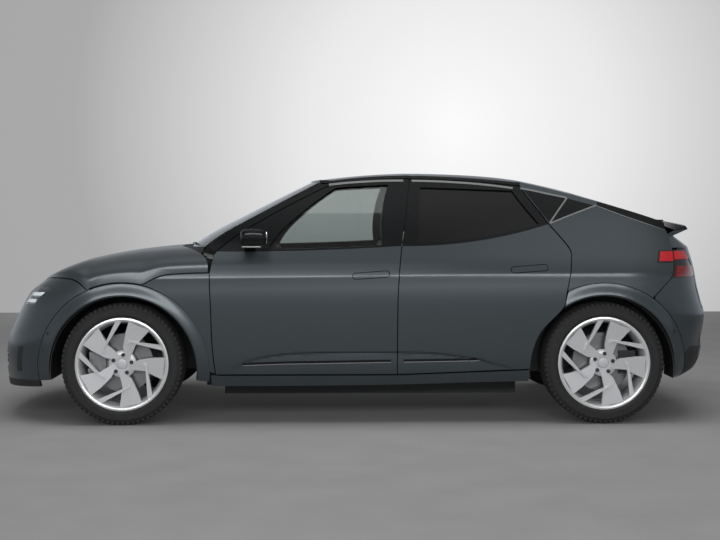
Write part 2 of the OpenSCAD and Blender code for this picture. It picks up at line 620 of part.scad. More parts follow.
module bumper_rear() {
    deep = set_in_side(tail_grid, bumper_t);
    shell(tail_grid, [for (i = [0 : len(tail_grid) - 1]) [for (j = [0 : len(tail_cols) - 1])
        abs(tail_cols[j]) <= tail_step[1] ? tail_grid[i][j] - [bumper_t, 0, 0] : deep[i][j]]]);
    for (s = [-1, 1])
        translate([cargo_end + seam, s * rear_floor_w * 0.6 - bracket[0] / 2, sz(400)])
            cube([bracket_rear - cargo_end - seam, bracket[0], bracket[1]]);
}

lamp_depth = [36, 8];
function lamp_edge(z) = lookup(z, [for (p = quarter_tail) [p[1], p[0]]]) + panel_gap;
function lamp_pt(t, z, d) = tail_pt(lerp(tail_angle_y(lamp_inner, z), tail_angle(lamp_edge(z), z), t), z)
    - d * [cos(90 * t), sin(90 * t), 0];
lamp_grid = [for (k = steps(4)) [for (t = steps(6)) lamp_pt(t, lerp(lamp_z[0], lamp_z[1], k), 0)]];
lamp_back = [for (k = steps(4)) [for (t = steps(6))
    lamp_pt(t, lerp(lamp_z[0], lamp_z[1], k), lerp(lamp_depth[0], lamp_depth[1], t))]];

// Rows of the tailgate: the sloping glass, the spoiler lip and the lower panel
gate_us = [0.4, 0.5, 0.6, 0.7, 0.8, 0.9, 1];
function gate_edge(u) = at(quarter_top, u * (len(quarter_cols) - 1))
    + [u == gate_us[0] ? panel_gap : 0, panel_gap, 0];
gate_cols = both_ways(8);
spoiler_top = [sx(2062), sy(645), sz(1190), sx(2128), sz(1205)];
spoiler_tip = [sx(2074), sy(645), sz(1172), sx(2140), sz(1187)];
spoiler_low = [sx(1972), sy(638), sz(1126), sx(2088), sz(1128)];
function bow_row(r) = [for (s = gate_cols) let (b = 1 - pow(abs(s), crown_n))
    [lerp(r[0], r[3], b), s * r[1], lerp(r[2], r[4], b)]];
function gate_row(z, y_end) = [for (s = gate_cols) tail_pt(sign(s) * tail_angle_y(abs(s) * y_end, z), z)];
gate_low_z = [sz(1057), sz(1051), sz(985), sz(925), sz(860), sz(775), hatch_low];
gate_wide = side_y(sx(1960), sz(1052)) - edge_t - panel_gap - 4 * swing_gap;
gate_grid = concat(
    [for (u = gate_us) let (e = gate_edge(u)) [for (s = gate_cols) crown(e, s, 0)]],
    [bow_row(spoiler_top), bow_row(spoiler_tip), bow_row(spoiler_low)],
    [for (i = [0 : len(gate_low_z) - 1]) gate_row(gate_low_z[i], i == 0 ? gate_wide : lamp_inner - panel_gap)]);
gate_t = 30;
gate_low_t = 45;
spoiler_in = [[-75, -22], [-90, -10], [-40, 6]];
gate_edge_in = [12, 18];
function gate_side(i) = abs(gate_grid[i][0][1]) - 1;
glass_rows = [1, 6, 2, 14];
gate_back = [for (i = [0 : len(gate_grid) - 1]) [for (p = gate_grid[i])
    p + (i < len(gate_us)
        ? (abs(p[1]) > gate_side(i) ? [0, -sign(p[1]) * gate_edge_in[0], -gate_edge_in[1]] : [0, 0, -gate_t])
        : i < len(gate_us) + 3
        ? [spoiler_in[i - len(gate_us)][0], 0, spoiler_in[i - len(gate_us)][1]] : [-gate_low_t, 0, 0])]];

// Floor, battery, drive units and axles
floor_z = ground_clear + floor_rise;
wall_front = axle_f + arch_r - liner_gap + seam;
wall_t = 16;
wall_h = sz(900);
step_x = sx(1000);
cargo_z = 480;
cargo_end = sx(2050);
kick_w = 20;

module floor_profile() {
    polygon([[wall_front, wall_h], [wall_front, floor_z - floor_t], [step_x + kick_w, floor_z - floor_t],
        [step_x + kick_w, cargo_z], [step_x, cargo_z], [step_x, floor_z], [wall_front + wall_t, floor_z],
        [wall_front + wall_t, wall_h]]);
}

module along_y(w) {
    rotate([90, 0, 0]) linear_extrude(height = 2 * w, center = true) children();
}

pack_x = [sx(-820), sx(990)];
pack_w = 640;
drive_l = 300;
drive_w = 250;
beam_top = 262;
tub_z = [420, 790];
tub_t = 8;
arm_z = [200, 225];
upper_f = [520, 540];
upper_r = [425, 445];
beam = [180, 472, 70];
tower_t = 40;
pad_r = 30;
kingpin_y = track / 2 - kingpin_in;
rotor_y = track / 2 - 5;
hub_face_y = rotor_y + disc_t + 8;
upright = [30, 28];
stub_r = 30;
fit = 0.3;

module arm(axle, z) {
    translate([axle, 0, z[0]]) {
        linear_extrude(height = z[1] - z[0])
            polygon([[-beam[0] * 0.6, tower_t - beam[1]], [-pad_r, -kingpin_y], [pad_r, -kingpin_y],
                [beam[0] * 0.6, tower_t - beam[1]]]);
        translate([0, -kingpin_y, 0]) cylinder(r = pad_r, h = z[1] - z[0], $fn = 48);
    }
}

caliper = [100, 140, 84];
module carrier(axle, dir, top) {
    translate([axle, -kingpin_y, hub_z]) {
        translate([-upright[0], -upright[1], arm_z[1] + fit - hub_z])
            cube([2 * upright[0], 2 * upright[1], top[0] - arm_z[1] - 2 * fit]);
        rotate([90, 0, 0]) cylinder(r = stub_r, h = hub_face_y - kingpin_y - 5, $fn = 48);
        scale([dir, 1, 1]) difference() {
            union() {
                translate([105, kingpin_y - rotor_y - disc_t - 26, -caliper[1] / 2])
                    cube([caliper[0], caliper[2] + 8, caliper[1]]);
                translate([0, -upright[1], -30]) cube([190, 18, 60]);
            }
            translate([0, kingpin_y - rotor_y - disc_t - 6, -caliper[1]])
                cube([disc_r + 6, disc_t + 12, 2 * caliper[1]]);
        }
    }
}

module beam_frame(axle, top) {
    translate([axle - beam[0] / 2, -beam[1], beam_top - beam[2]]) cube([beam[0], 2 * beam[1], beam[2]]);
    for (s = [0, 1]) mirror([0, s, 0]) {
        arm(axle, arm_z);
        arm(axle, top);
        translate([axle - tower_t, -beam[1], beam_top - beam[2]])
            cube([2 * tower_t, tower_t, top[1] - beam_top + beam[2]]);
    }
}

// Wheels, drawn with the outside facing -Y
rim_w = 254;
flange_h = 19;
barrel_t = 12;
bead_fit = 0.3;
face_out = 112;
blade_t = 22;
blade_out = face_out - 4;
module wheel_at(axle, side) {
    translate([axle, side * track / 2, hub_z]) rotate([0, 0, side > 0 ? 180 : 0]) rotate([90, 0, 0]) children();
}

module tyre() {
    w = tyre_w / 2;
    seat = rim_w / 2 - 11;
    ri = rim_r - flange_h + bead_fit;
    rotate_extrude($fn = 96)
        polygon([[ri, -seat], [rim_r + 1, -seat], [rim_r + 5, -w + 4], [rim_r + 30, -w], [tyre_r - 22, -w + 7],
            [tyre_r - 7, -w + 22], [tyre_r, -w + 45], [tyre_r, w - 45], [tyre_r - 7, w - 22], [tyre_r - 22, w - 7],
            [rim_r + 30, w], [rim_r + 5, w - 4], [rim_r + 1, seat], [ri, seat]]);
}

function polar(r, a) = [r * cos(a), r * sin(a)];
blades = 5;
lip_r = rim_r - flange_h - 2;
hub_r = 82;
module rim() {
    w = rim_w / 2;
    ro = rim_r - flange_h;
    rotate_extrude($fn = 96)
        polygon([[ro - barrel_t, -w], [rim_r, -w], [rim_r, -w + 10], [ro, -w + 10], [ro, w - 10], [rim_r, w - 10],
            [rim_r, w], [ro - barrel_t, w]]);
    translate([0, 0, hub_face_y - track / 2 + fit])
        cylinder(r = hub_r, h = blade_out - hub_face_y + track / 2 - 8, $fn = 64);
    for (k = [0 : blades - 1]) rotate([0, 0, 72 * k]) {
        translate([0, 0, blade_out - blade_t]) linear_extrude(height = blade_t)
            polygon([polar(lip_r, 81), polar(rim_r * 0.37, 87), polar(hub_r * 0.6, 70), polar(hub_r * 0.6, 30),
                polar(rim_r * 0.5, 55), polar(rim_r * 0.6, 53), polar(lip_r, 51), polar(lip_r, 60), polar(lip_r, 71)]);
        translate([0, 0, blade_out - blade_t / 2]) linear_extrude(height = blade_t / 2 + 4)
            polygon([polar(lip_r, 20), polar(rim_r * 0.48, 71), polar(rim_r * 0.48, 77), polar(lip_r, 25)]);
    }
}

module disc() {
    translate([0, 0, rotor_y - track / 2]) difference() {
        union() {
            cylinder(r = disc_r, h = disc_t, $fn = 96);
            cylinder(r = hub_r - 6, h = hub_face_y - rotor_y, $fn = 64);
        }
        translate([0, 0, -1]) cylinder(r = stub_r + fit, h = hub_face_y - rotor_y - 3, $fn = 48);
    }
}

// Cabin furniture
column_len = 99.5;
wheel_pos = [sx(-430), -seat_pitch / 2, floor_z + 620];
wheel_tilt = 65;
dash_w = 700;
dash_x = wall_front + wall_t + seam;
function column_pt(t, n) = [wheel_pos[0] - t * sin(wheel_tilt) - n * cos(wheel_tilt),
    wheel_pos[2] - t * cos(wheel_tilt) + n * sin(wheel_tilt)];

module seat_profile() {
    polygon([[-330, 130], [-340, 210], [-300, 262], [-60, 250], [110, 252], [190, 480], [262, 760], [282, 905], [330, 915],
        [362, 790], [318, 520], [262, 240], [230, 130]]);
}

module front_seat() {
    translate([sx(-60), 0, floor_z + fit]) {
        along_y(seat_w / 2) seat_profile();
        for (s = [-1, 1]) translate([-260, s * seat_w * 0.36 - 20, 0]) cube([440, 40, 131]);
    }
}

foot = [-690, 70, 1062, 40, 918];
module mirror_body() {
    hull() for (x = [-692, -560]) for (z = [1092, 1158]) for (y = [-1022, -925])
        translate([sx(x), sy(y), sz(z)]) sphere(r = 20, $fn = 16);
    foot_y = side_y(sx(foot[0] + foot[1]), sz(foot[2])) + 2 * seam;
    translate([sx(foot[0]), -sy(foot[4]), sz(foot[2])]) cube([foot[1], sy(foot[4]) - foot_y, foot[3]]);
}

paint = "#4a5053";
black = "#15171a";
glass = [0.2, 0.24, 0.25, 0.5];

module floor_pan() {
    color("#3a3c3e") {
        along_y(sill_in - seam) floor_profile();
        translate([step_x, -rear_floor_w + seam, cargo_z - kick_w])
            cube([cargo_end - step_x, 2 * rear_floor_w - 2 * seam, kick_w]);
    }
}
module battery_pack() {
    color("#2b2d30") translate([pack_x[0], -pack_w, ground_clear])
        cube([pack_x[1] - pack_x[0], 2 * pack_w, floor_rise - floor_t]);
}
module drive_units() {
    color("#8a8d90") {
        translate([axle_f - drive_l / 2, -drive_w, beam_top + fit])
            cube([drive_l, 2 * drive_w, tub_z[0] - beam_top - 2 * fit]);
        translate([axle_r - drive_l / 2, -drive_w, beam_top + fit])
            cube([drive_l, 2 * drive_w, cargo_z - kick_w - beam_top - 2 * fit]);
    }
}
module front_axle() {
    color("#303235") beam_frame(axle_f, upper_f);
}
module rear_axle() {
    color("#303235") {
        beam_frame(axle_r, upper_r);
        for (s = [0, 1]) mirror([0, s, 0]) {
            carrier(axle_r, 1, upper_r);
            translate([axle_r - 12, -kingpin_y - 12, arm_z[0]]) cube([24, 24, upper_r[1] - arm_z[0]]);
        }
    }
}
module front_tub() {
    color("#26282a") translate([tub_front, -tub_w, tub_z[0]]) difference() {
        cube([wall_front - seam - tub_front, 2 * tub_w, tub_z[1] - tub_z[0]]);
        translate([tub_t, tub_t, tub_t])
            cube([wall_front - seam - tub_front - 2 * tub_t, 2 * tub_w - 2 * tub_t, tub_z[1]]);
    }
}
module side_frame_l() { color(black) side_frame(); }
module side_frame_r() { color(black) right_of() side_frame(); }
module quarter_l() { color(paint) quarter_panel(); }
module quarter_r() { color(paint) right_of() quarter_panel(); }
module quarter_glass() {
    color(glass) {
        quarter_pane();
        right_of() quarter_pane();
    }
}
module fender_l() { color(paint) fender(); }
module fender_r() { color(paint) right_of() fender(); }
module sill_l() { color(paint) sill(); }
module sill_r() { color(paint) right_of() sill(); }
module arches_l() { color(paint) arch_pair(); }
module arches_r() { color(paint) right_of() arch_pair(); }
module wheel_liners() {
    color(black) for (s = [0, 1]) mirror([0, s, 0]) {
        liner(axle_f, liner_in_f);
        liner(axle_r, rear_floor_w);
    }
}
module roof() { color(black) roof_panel(); }
module windscreen() { color(glass) shell(screen_grid, set_in(screen_grid, screen_t)); }
module cowl() { color(black) shell(cowl_grid, [for (r = cowl_grid) [for (p = r) p - [0, 0, cowl_t]]]); }
module front_bumper() { color(paint) bumper_front(); }
module lower_grille() { color(black) plate_on(grille_cells, 8, 20, 2 * seam); }
module headlamps() {
    color("#d8dde0") {
        plate_on(lamp_cells, 1, lamp_t, plate_gap);
        plate_on(mirror_cells(lamp_cells, len(nose_cols) - 1), 1, lamp_t, plate_gap);
    }
}
module rear_bumper() { color(paint) bumper_rear(); }
module tail_lamps() {
    color("#a3161c") for (s = [0, 1]) mirror([0, s, 0]) shell(lamp_grid, lamp_back);
}
module dashboard() {
    color("#2a2c2f") along_y(dash_w)
        polygon([[dash_x, 640], [column_pt(100, -90)[0] - 70, 640], column_pt(100, -90), column_pt(100, 90),
            [sx(-640), sz(980)], [dash_x, sz(988)]]);
}
module console() {
    color("#2a2c2f") translate([sx(-500), -105, floor_z + fit]) cube([760, 210, 260]);
}
module front_seats() {
    color("#c9ccc8") for (s = [-1, 1]) translate([0, s * seat_pitch / 2, 0]) front_seat();
}
module rear_seat() {
    color("#c9ccc8") translate([sx(1000), 0, floor_z + fit]) along_y(600)
        polygon([[-330, 0], [-345, 210], [-300, 290], [-20, 270], [45, 300], [120, 560], [190, 760], [235, 765], [250, 720],
            [190, 500], [130, cargo_z - floor_z + 1], [-2, cargo_z - floor_z + 1], [-2, 0]]);
}
module steering_wheel() {
    color("#1c1d1f") translate(wheel_pos) rotate([0, wheel_tilt, 0]) {
        rotate_extrude($fn = 64) translate([steering_r - 15, 0]) circle(r = 15, $fn = 24);
        translate([-24, -steering_r + 15, -8]) cube([48, 2 * steering_r - 30, 16]);
        cylinder(r = 62, h = 30, center = true, $fn = 48);
        translate([0, 0, -column_len]) cylinder(r = 26, h = column_len, $fn = 32);
    }
}
module hood() { color(paint) shell(hood_grid, set_in_side(hood_grid, hood_t)); }
module tailgate() { color(paint) shell(gate_grid, gate_back, [glass_rows]); }
module tailgate_glass() {
    fit_grid = trim_grid(cells(gate_grid, glass_rows), seam);
    color(glass) shell(fit_grid, [for (r = fit_grid) [for (p = r) p - [0, 0, glass_t]]]);
}
module door_fl() { color(paint) door(door_front, door_mid, win_front, belt_sag_f, lean_front); }
module door_fr() { color(paint) right_of() door(door_front, door_mid, win_front, belt_sag_f, lean_front); }
module door_rl() { color(paint) door(door_mid_rear, door_rear, win_rear, belt_sag_r, lean_rear); }
module door_rr() { color(paint) right_of() door(door_mid_rear, door_rear, win_rear, belt_sag_r, lean_rear); }
module glass_fl() { color(glass) door_glass(door_front, door_mid, win_front, belt_sag_f, lean_front); }
module glass_fr() { color(glass) right_of() door_glass(door_front, door_mid, win_front, belt_sag_f, lean_front); }
module glass_rl() { color(glass) door_glass(door_mid_rear, door_rear, win_rear, belt_sag_r, lean_rear); }
module glass_rr() { color(glass) right_of() door_glass(door_mid_rear, door_rear, win_rear, belt_sag_r, lean_rear); }
module mirror_l() { color(black) mirror_body(); }
module mirror_r() { color(black) right_of() mirror_body(); }
module knuckle_l() { color("#5a5d60") carrier(axle_f, -1, upper_f); }
module knuckle_r() { color("#5a5d60") right_of() carrier(axle_f, -1, upper_f); }
module rim_fl() { color("#9a9d9f") wheel_at(axle_f, -1) rim(); }
module rim_fr() { color("#9a9d9f") wheel_at(axle_f, 1) rim(); }
module rim_rl() { color("#9a9d9f") wheel_at(axle_r, -1) rim(); }
module rim_rr() { color("#9a9d9f") wheel_at(axle_r, 1) rim(); }
module tyre_fl() { color(black) wheel_at(axle_f, -1) tyre(); }
module tyre_fr() { color(black) wheel_at(axle_f, 1) tyre(); }
module tyre_rl() { color(black) wheel_at(axle_r, -1) tyre(); }
module tyre_rr() { color(black) wheel_at(axle_r, 1) tyre(); }
module disc_fl() { color("#6f7275") wheel_at(axle_f, -1) disc(); }
module disc_fr() { color("#6f7275") wheel_at(axle_f, 1) disc(); }
module disc_rl() { color("#6f7275") wheel_at(axle_r, -1) disc(); }
module disc_rr() { color("#6f7275") wheel_at(axle_r, 1) disc(); }

floor_pan();
battery_pack();
drive_units();
front_axle();
rear_axle();
front_tub();
side_frame_l();
side_frame_r();
quarter_l();
quarter_r();
quarter_glass();
fender_l();
fender_r();
sill_l();
sill_r();
arches_l();
arches_r();
wheel_liners();
roof();
windscreen();
cowl();
front_bumper();
lower_grille();
headlamps();
rear_bumper();
tail_lamps();
dashboard();
console();
front_seats();
rear_seat();
steering_wheel();
hood();
tailgate();
tailgate_glass();
door_fl();
door_fr();
door_rl();
door_rr();
glass_fl();
glass_fr();
glass_rl();
glass_rr();
mirror_l();
mirror_r();
knuckle_l();
knuckle_r();
rim_fl();
rim_fr();
rim_rl();
rim_rr();
tyre_fl();
tyre_fr();
tyre_rl();
tyre_rr();
disc_fl();
disc_fr();
disc_rl();
disc_rr();
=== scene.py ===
import math
import bmesh
import bpy
import numpy as np
from mathutils import Matrix, Vector


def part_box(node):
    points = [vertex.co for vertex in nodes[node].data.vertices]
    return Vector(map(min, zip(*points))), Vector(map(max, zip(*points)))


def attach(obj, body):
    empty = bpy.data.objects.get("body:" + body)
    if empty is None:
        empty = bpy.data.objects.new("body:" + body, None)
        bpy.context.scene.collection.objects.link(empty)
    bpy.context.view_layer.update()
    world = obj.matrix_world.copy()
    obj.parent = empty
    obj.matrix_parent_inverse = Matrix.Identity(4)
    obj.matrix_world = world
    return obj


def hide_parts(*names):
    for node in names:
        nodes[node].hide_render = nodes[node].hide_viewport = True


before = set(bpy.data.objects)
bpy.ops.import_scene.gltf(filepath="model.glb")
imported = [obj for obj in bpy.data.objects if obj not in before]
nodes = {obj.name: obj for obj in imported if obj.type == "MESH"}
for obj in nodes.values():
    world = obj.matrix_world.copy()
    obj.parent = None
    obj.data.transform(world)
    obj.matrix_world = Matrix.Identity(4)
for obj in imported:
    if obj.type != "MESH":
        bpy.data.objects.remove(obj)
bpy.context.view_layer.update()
scene = bpy.context.scene
print("frame loaded:", len(nodes), "nodes")

# Body surface, in millimetres: front is -x, left is -y
car = {
    "axleF": -1412.5, "axleR": 1487.5, "hubZ": 365, "archZ": 326, "halfTrack": 805,
    "archR": 447, "grooveR": 522, "gap": 6, "seam": 0.5, "chordGap": 4, "swingGap": 3,
    "noseC": -1480, "tailC": 1560, "noseN": 2.8, "tailN": 3, "barrel": 12,
}
pinch = {"rear": 105, "rearX": 200, "rearZ": 880, "rearTall": 400,  # the cabin draws in at the rear and front
         "front": 45, "frontX": -300, "frontLong": 700, "frontZ": 960, "frontTall": 150}
sectionPts = [(180, 836), (230, 858), (330, 904), (440, 924), (700, 940), (880, 934), (960, 914), (1040, 877),
              (1250, 768), (1450, 622), (1535, 545)]
nosePts = [(190, -2248), (300, -2257.5), (420, -2252), (500, -2235), (580, -2198), (660, -2160), (740, -2118),
           (785, -2085), (815, -2044), (850, -1996), (890, -1930)]
tailPts = [(250, 2110), (300, 2192), (416, 2238), (472, 2234), (550, 2248), (640, 2257.5), (724, 2232),
           (819, 2206), (945, 2185), (1046, 2165), (1120, 2150), (1200, 2138)]


def lerp(a, b, t):
    return a + (b - a) * t


def clamp(x, lo, hi):
    return min(max(x, lo), hi)


def ease(t):
    t = clamp(t, 0, 1)
    return t * t * (3 - 2 * t)


def lookup(x, pts):
    return float(np.interp(x, [p[0] for p in pts], [p[1] for p in pts]))


def slope(p, i):
    a, b = max(i - 1, 0), min(i + 1, len(p) - 1)
    return (p[b][1] - p[a][1]) / (p[b][0] - p[a][0])


def curve(x, p):  # smooth curve through points sorted by x
    i = 0
    while i < len(p) - 2 and x >= p[i + 1][0]:
        i += 1
    h = p[i + 1][0] - p[i][0]
    t = clamp((x - p[i][0]) / h, 0, 1)
    return ((2 * t ** 3 - 3 * t * t + 1) * p[i][1] + (t ** 3 - 2 * t * t + t) * slope(p, i) * h
            + (3 * t * t - 2 * t ** 3) * p[i + 1][1] + (t ** 3 - t * t) * slope(p, i + 1) * h)


def at(pts, w):  # smooth point at a fractional index
    n = len(pts) - 1
    i = int(clamp(math.floor(w), 0, n - 1))
    t = w - i
    p0, p1, p2, p3 = (np.array(pts[int(clamp(k, 0, n))], float) for k in (i - 1, i, i + 1, i + 2))
    m1, m2 = (p2 - p0) / 2, (p3 - p1) / 2
    if t < 0 or t > 1:
        return lerp(p1, p2, t)
    return ((2 * t ** 3 - 3 * t * t + 1) * p1 + (t ** 3 - 2 * t * t + t) * m1
            + (3 * t * t - 2 * t ** 3) * p2 + (t ** 3 - t * t) * m2)


def shift(pts, d):  # an edge line moved square to itself, rearward for positive d
    out = []
    for i, p in enumerate(pts):
        a, b = pts[max(i - 1, 0)], pts[min(i + 1, len(pts) - 1)]
        n = math.hypot(b[0] - a[0], b[1] - a[1])
        out.append((p[0] + d * (b[1] - a[1]) / n, p[1] - d * (b[0] - a[0]) / n))
    return out


def halfW(x, z):
    w = curve(z, sectionPts) - car["barrel"] * clamp(x / car["tailC"], -1, 1) ** 2
    rear = ease((x - pinch["rearX"]) / (car["tailC"] - pinch["rearX"])) * ease((z - pinch["rearZ"]) / pinch["rearTall"])
    w -= pinch["rear"] * rear
    front = ease((pinch["frontX"] - x) / pinch["frontLong"]) * ease((z - pinch["frontZ"]) / pinch["frontTall"])
    return w - pinch["front"] * front


def oval(t, n):
    return 1 if t <= 0 else 0 if t >= 1 else (1 - t ** n) ** (1 / n)


def sideY(x, z):
    nose, tail = curve(z, nosePts), curve(z, tailPts)
    return (halfW(x, z) * oval((car["noseC"] - x) / (car["noseC"] - nose), car["noseN"])
            * oval((x - car["tailC"]) / (tail - car["tailC"]), car["tailN"]))


def nosePt(a, z, d=0):
    c, s = abs(math.cos(a)) ** (2 / car["noseN"]), abs(math.sin(a)) ** (2 / car["noseN"])
    return np.array([car["noseC"] + (curve(z, nosePts) + d - car["noseC"]) * c,
                     math.copysign((halfW(car["noseC"], z) - d) * s, a), z])


def tailPt(a, z, d=0):
    c, s = abs(math.cos(a)) ** (2 / car["tailN"]), abs(math.sin(a)) ** (2 / car["tailN"])
    return np.array([car["tailC"] + (curve(z, tailPts) - d - car["tailC"]) * c,
                     math.copysign((halfW(car["tailC"], z) - d) * s, a), z])


def noseAngle(x, z):
    t = (car["noseC"] - x) / (car["noseC"] - curve(z, nosePts))
    return math.acos(clamp(t, 0, 1) ** (car["noseN"] / 2))


def tailAngle(x, z):
    t = (x - car["tailC"]) / (curve(z, tailPts) - car["tailC"])
    return math.acos(clamp(t, 0, 1) ** (car["tailN"] / 2))


def tailAngleY(y, z):
    return math.asin(clamp(y / halfW(car["tailC"], z), 0, 1) ** (car["tailN"] / 2))


# Relief of the door side: shoulder line and the scoop above the sill
relief = {
    "scoop": [(-800, 322), (-760, 336), (-640, 393), (-460, 426), (-220, 438), (260, 438), (500, 429), (680, 402),
              (800, 375), (890, 349), (990, 330)],
    "scoopDeep": 15, "scoopTall": 120, "scoopLip": 10, "shoulder": 893, "shoulderOut": 3.5, "shoulderTall": 70,
    "shoulderRise": 0.012, "fade": 160, "scoopCurve": 1.3,
}


def sideRelief(x, z):
    off = abs(z - relief["shoulder"] - relief["shoulderRise"] * x)
    d = relief["shoulderOut"] * max(0, 1 - off / relief["shoulderTall"]) ** 2
    first, last = relief["scoop"][0][0], relief["scoop"][-1][0]
    ends = ease((x - first) / relief["fade"]) * ease((last - x) / relief["fade"])
    if ends > 0:
        under = curve(x, relief["scoop"]) - z
        if 0 < under < relief["scoopTall"]:
            d -= (relief["scoopDeep"] * ends * ease(under / relief["scoopLip"])
                  * (1 - under / relief["scoopTall"]) ** relief["scoopCurve"])
    return d


def sidePt(p, d=0.0, shaped=False):  # point on the left side, d behind the skin
    return np.array([p[0], -sideY(p[0], p[1]) - (sideRelief(p[0], p[1]) if shaped else 0) + d, p[1]])


def refine(values, step):  # a list of parameters with steps no longer than this, and where the old ones sit
    out, marks = [], []
    for a, b in zip(values, values[1:]):
        marks.append(len(out))
        n = max(1, math.ceil((b - a) / step - 1e-6))
        out += [lerp(a, b, k / n) for k in range(n)]
    marks.append(len(out))
    return out + [values[-1]], marks


def setIn(g, d, core=(0, 0, 600)):  # the grid moved by d against its normals
    g = np.asarray(g, float)
    du, dv = np.gradient(g, axis=0), np.gradient(g, axis=1)
    n = np.cross(du, dv)
    n /= np.maximum(np.linalg.norm(n, axis=2, keepdims=True), 1e-9)
    n[np.einsum("ijk,ijk->ij", n, g - np.array(core)) < 0] *= -1
    return g - d * n


def mirrored(g):
    return np.asarray(g) * np.array([1, -1, 1])


bothSides = ((np.asarray, "l"), (mirrored, "r"))


class Wire:  # a shader value that takes part in Python expressions
    def __init__(self, tree, socket):
        self.tree, self.socket = tree, socket

    def join(self, op, other, swap=False):
        n = self.tree.nodes.new("ShaderNodeMath")
        n.operation = op
        for k, v in enumerate((other, self) if swap else (self, other)):
            if isinstance(v, Wire):
                self.tree.links.new(v.socket, n.inputs[k])
            else:
                n.inputs[k].default_value = v
        return Wire(self.tree, n.outputs[0])

    def __add__(self, o): return self.join("ADD", o)
    def __radd__(self, o): return self.join("ADD", o)
    def __sub__(self, o): return self.join("SUBTRACT", o)
    def __rsub__(self, o): return self.join("SUBTRACT", o, True)
    def __mul__(self, o): return self.join("MULTIPLY", o)
    def __rmul__(self, o): return self.join("MULTIPLY", o)
    def __pow__(self, o): return self.join("POWER", o)


def makeNode(tree, kind, settings=None, sockets=None, out=0):
    n = tree.nodes.new(kind)
    for key, value in (settings or {}).items():
        if key == "stops":
            for k, (pos, col) in enumerate(value):
                e = n.color_ramp.elements[k] if k < 2 else n.color_ramp.elements.new(pos)
                e.position, e.color = pos, (*col, 1)
        else:
            setattr(n, key, value)
    for key, value in (sockets or {}).items():
        if isinstance(value, Wire):
            tree.links.new(value.socket, n.inputs[key])
        else:
            n.inputs[key].default_value = value
    return Wire(tree, n.outputs[out])


class Finish:  # one material round a Principled shader; constants go straight on its sockets
    def __init__(self, name, **constants):
        self.mat = bpy.data.materials.new(name)
        self.mat.use_nodes = True
        self.tree = self.mat.node_tree
        self.bsdf = next(n for n in self.tree.nodes if n.type == "BSDF_PRINCIPLED")
        for key, value in constants.items():
            sock = self.bsdf.inputs[key.replace("_", " ")]
            sock.default_value = (*value, 1) if isinstance(value, tuple) and len(value) == 3 else value
        self.coords = self.make("ShaderNodeTexCoord", out="Object")

    def make(self, kind, settings=None, sockets=None, out=0):
        return makeNode(self.tree, kind, settings, sockets, out)

    def noise(self, scale, detail=2, rough=0.5, coords=None):
        return self.make("ShaderNodeTexNoise", {}, {"Vector": coords or self.coords, "Scale": scale, "Detail": detail,
                                                    "Roughness": rough}, "Fac")

    def ramp(self, fac, *stops):
        return self.make("ShaderNodeValToRGB", {"stops": stops}, {"Fac": fac}, "Color")

    def bump(self, height, strength, distance):
        self.feed("Normal", self.make("ShaderNodeBump", {}, {"Height": height, "Strength": strength,
                                                            "Distance": distance}, "Normal"))

    def feed(self, key, wire):
        self.tree.links.new(wire.socket, self.bsdf.inputs[key])
        return self


def speckled(name, base, spread, scale, rough=(0.4, 0.5), bump=0, bumpScale=0, **constants):
    # a finish whose colour and gloss wander a little, with an optional fine grain
    f = Finish(name, **constants)
    n = f.noise(scale, 3)
    dark = tuple(c * (1 - spread) for c in base)
    light = tuple(min(1, c * (1 + spread)) for c in base)
    f.feed("Base Color", f.ramp(n, (0.3, dark), (0.7, light)))
    f.feed("Roughness", f.noise(scale * 0.31, 2) * (rough[1] - rough[0]) + rough[0])
    if bump:
        f.bump(f.noise(bumpScale, 2), 0.6, bump)
    return f.mat


look = {
    "paint": (0.06, 0.074, 0.081), "black": (0.006, 0.0065, 0.007), "silver": (0.4, 0.41, 0.41),
    "plastic": (0.016, 0.0165, 0.017), "rubber": (0.016, 0.016, 0.0165), "blade": (0.6, 0.61, 0.62),
    "machined": (0.72, 0.73, 0.73), "iron": (0.33, 0.33, 0.335), "seat": (0.42, 0.44, 0.41),
    "cabin": (0.03, 0.031, 0.033), "red": (0.33, 0.004, 0.008), "steel": (0.035, 0.037, 0.04),
    "alloy": (0.25, 0.255, 0.26), "carpet": (0.028, 0.028, 0.03),
}
bodyPaint = speckled("bodyPaint", look["paint"], 0.1, 700, (0.3, 0.36), Metallic=0.55, Coat_Weight=0.45,
                     Coat_Roughness=0.16)
glossBlack = speckled("glossBlack", look["black"], 0.2, 60, (0.12, 0.16), Specular_IOR_Level=0.3)
satinSilver = speckled("satinSilver", look["silver"], 0.04, 400, (0.3, 0.38), Metallic=0.9)
blackPlastic = speckled("blackPlastic", look["plastic"], 0.15, 90, (0.5, 0.62), 0.0004, 1400)
underSteel = speckled("underSteel", look["steel"], 0.2, 25, (0.5, 0.7), Metallic=0.3)
castAlloy = speckled("castAlloy", look["alloy"], 0.12, 40, (0.4, 0.55), 0.0006, 500, Metallic=0.85)
cabinDark = speckled("cabinDark", look["cabin"], 0.15, 50, (0.55, 0.65), 0.0005, 900)
carpetGrey = speckled("carpetGrey", look["carpet"], 0.35, 900, (0.9, 0.97), 0.002, 1300)
bladeGrey = speckled("bladeGrey", look["blade"], 0.05, 500, (0.34, 0.4), Metallic=0.35, Coat_Weight=0.3)
machinedFace = speckled("machinedFace", look["machined"], 0.04, 900, (0.25, 0.32), Metallic=0.5)
tyreRubber = speckled("tyreRubber", look["rubber"], 0.18, 45, (0.68, 0.8), 0.0005, 800)
lampDark = speckled("lampDark", (0.012, 0.012, 0.013), 0.1, 40, (0.12, 0.18), Coat_Weight=0.6)
chromeDish = speckled("chromeDish", (0.55, 0.56, 0.57), 0.03, 60, (0.08, 0.12), Metallic=1.0)
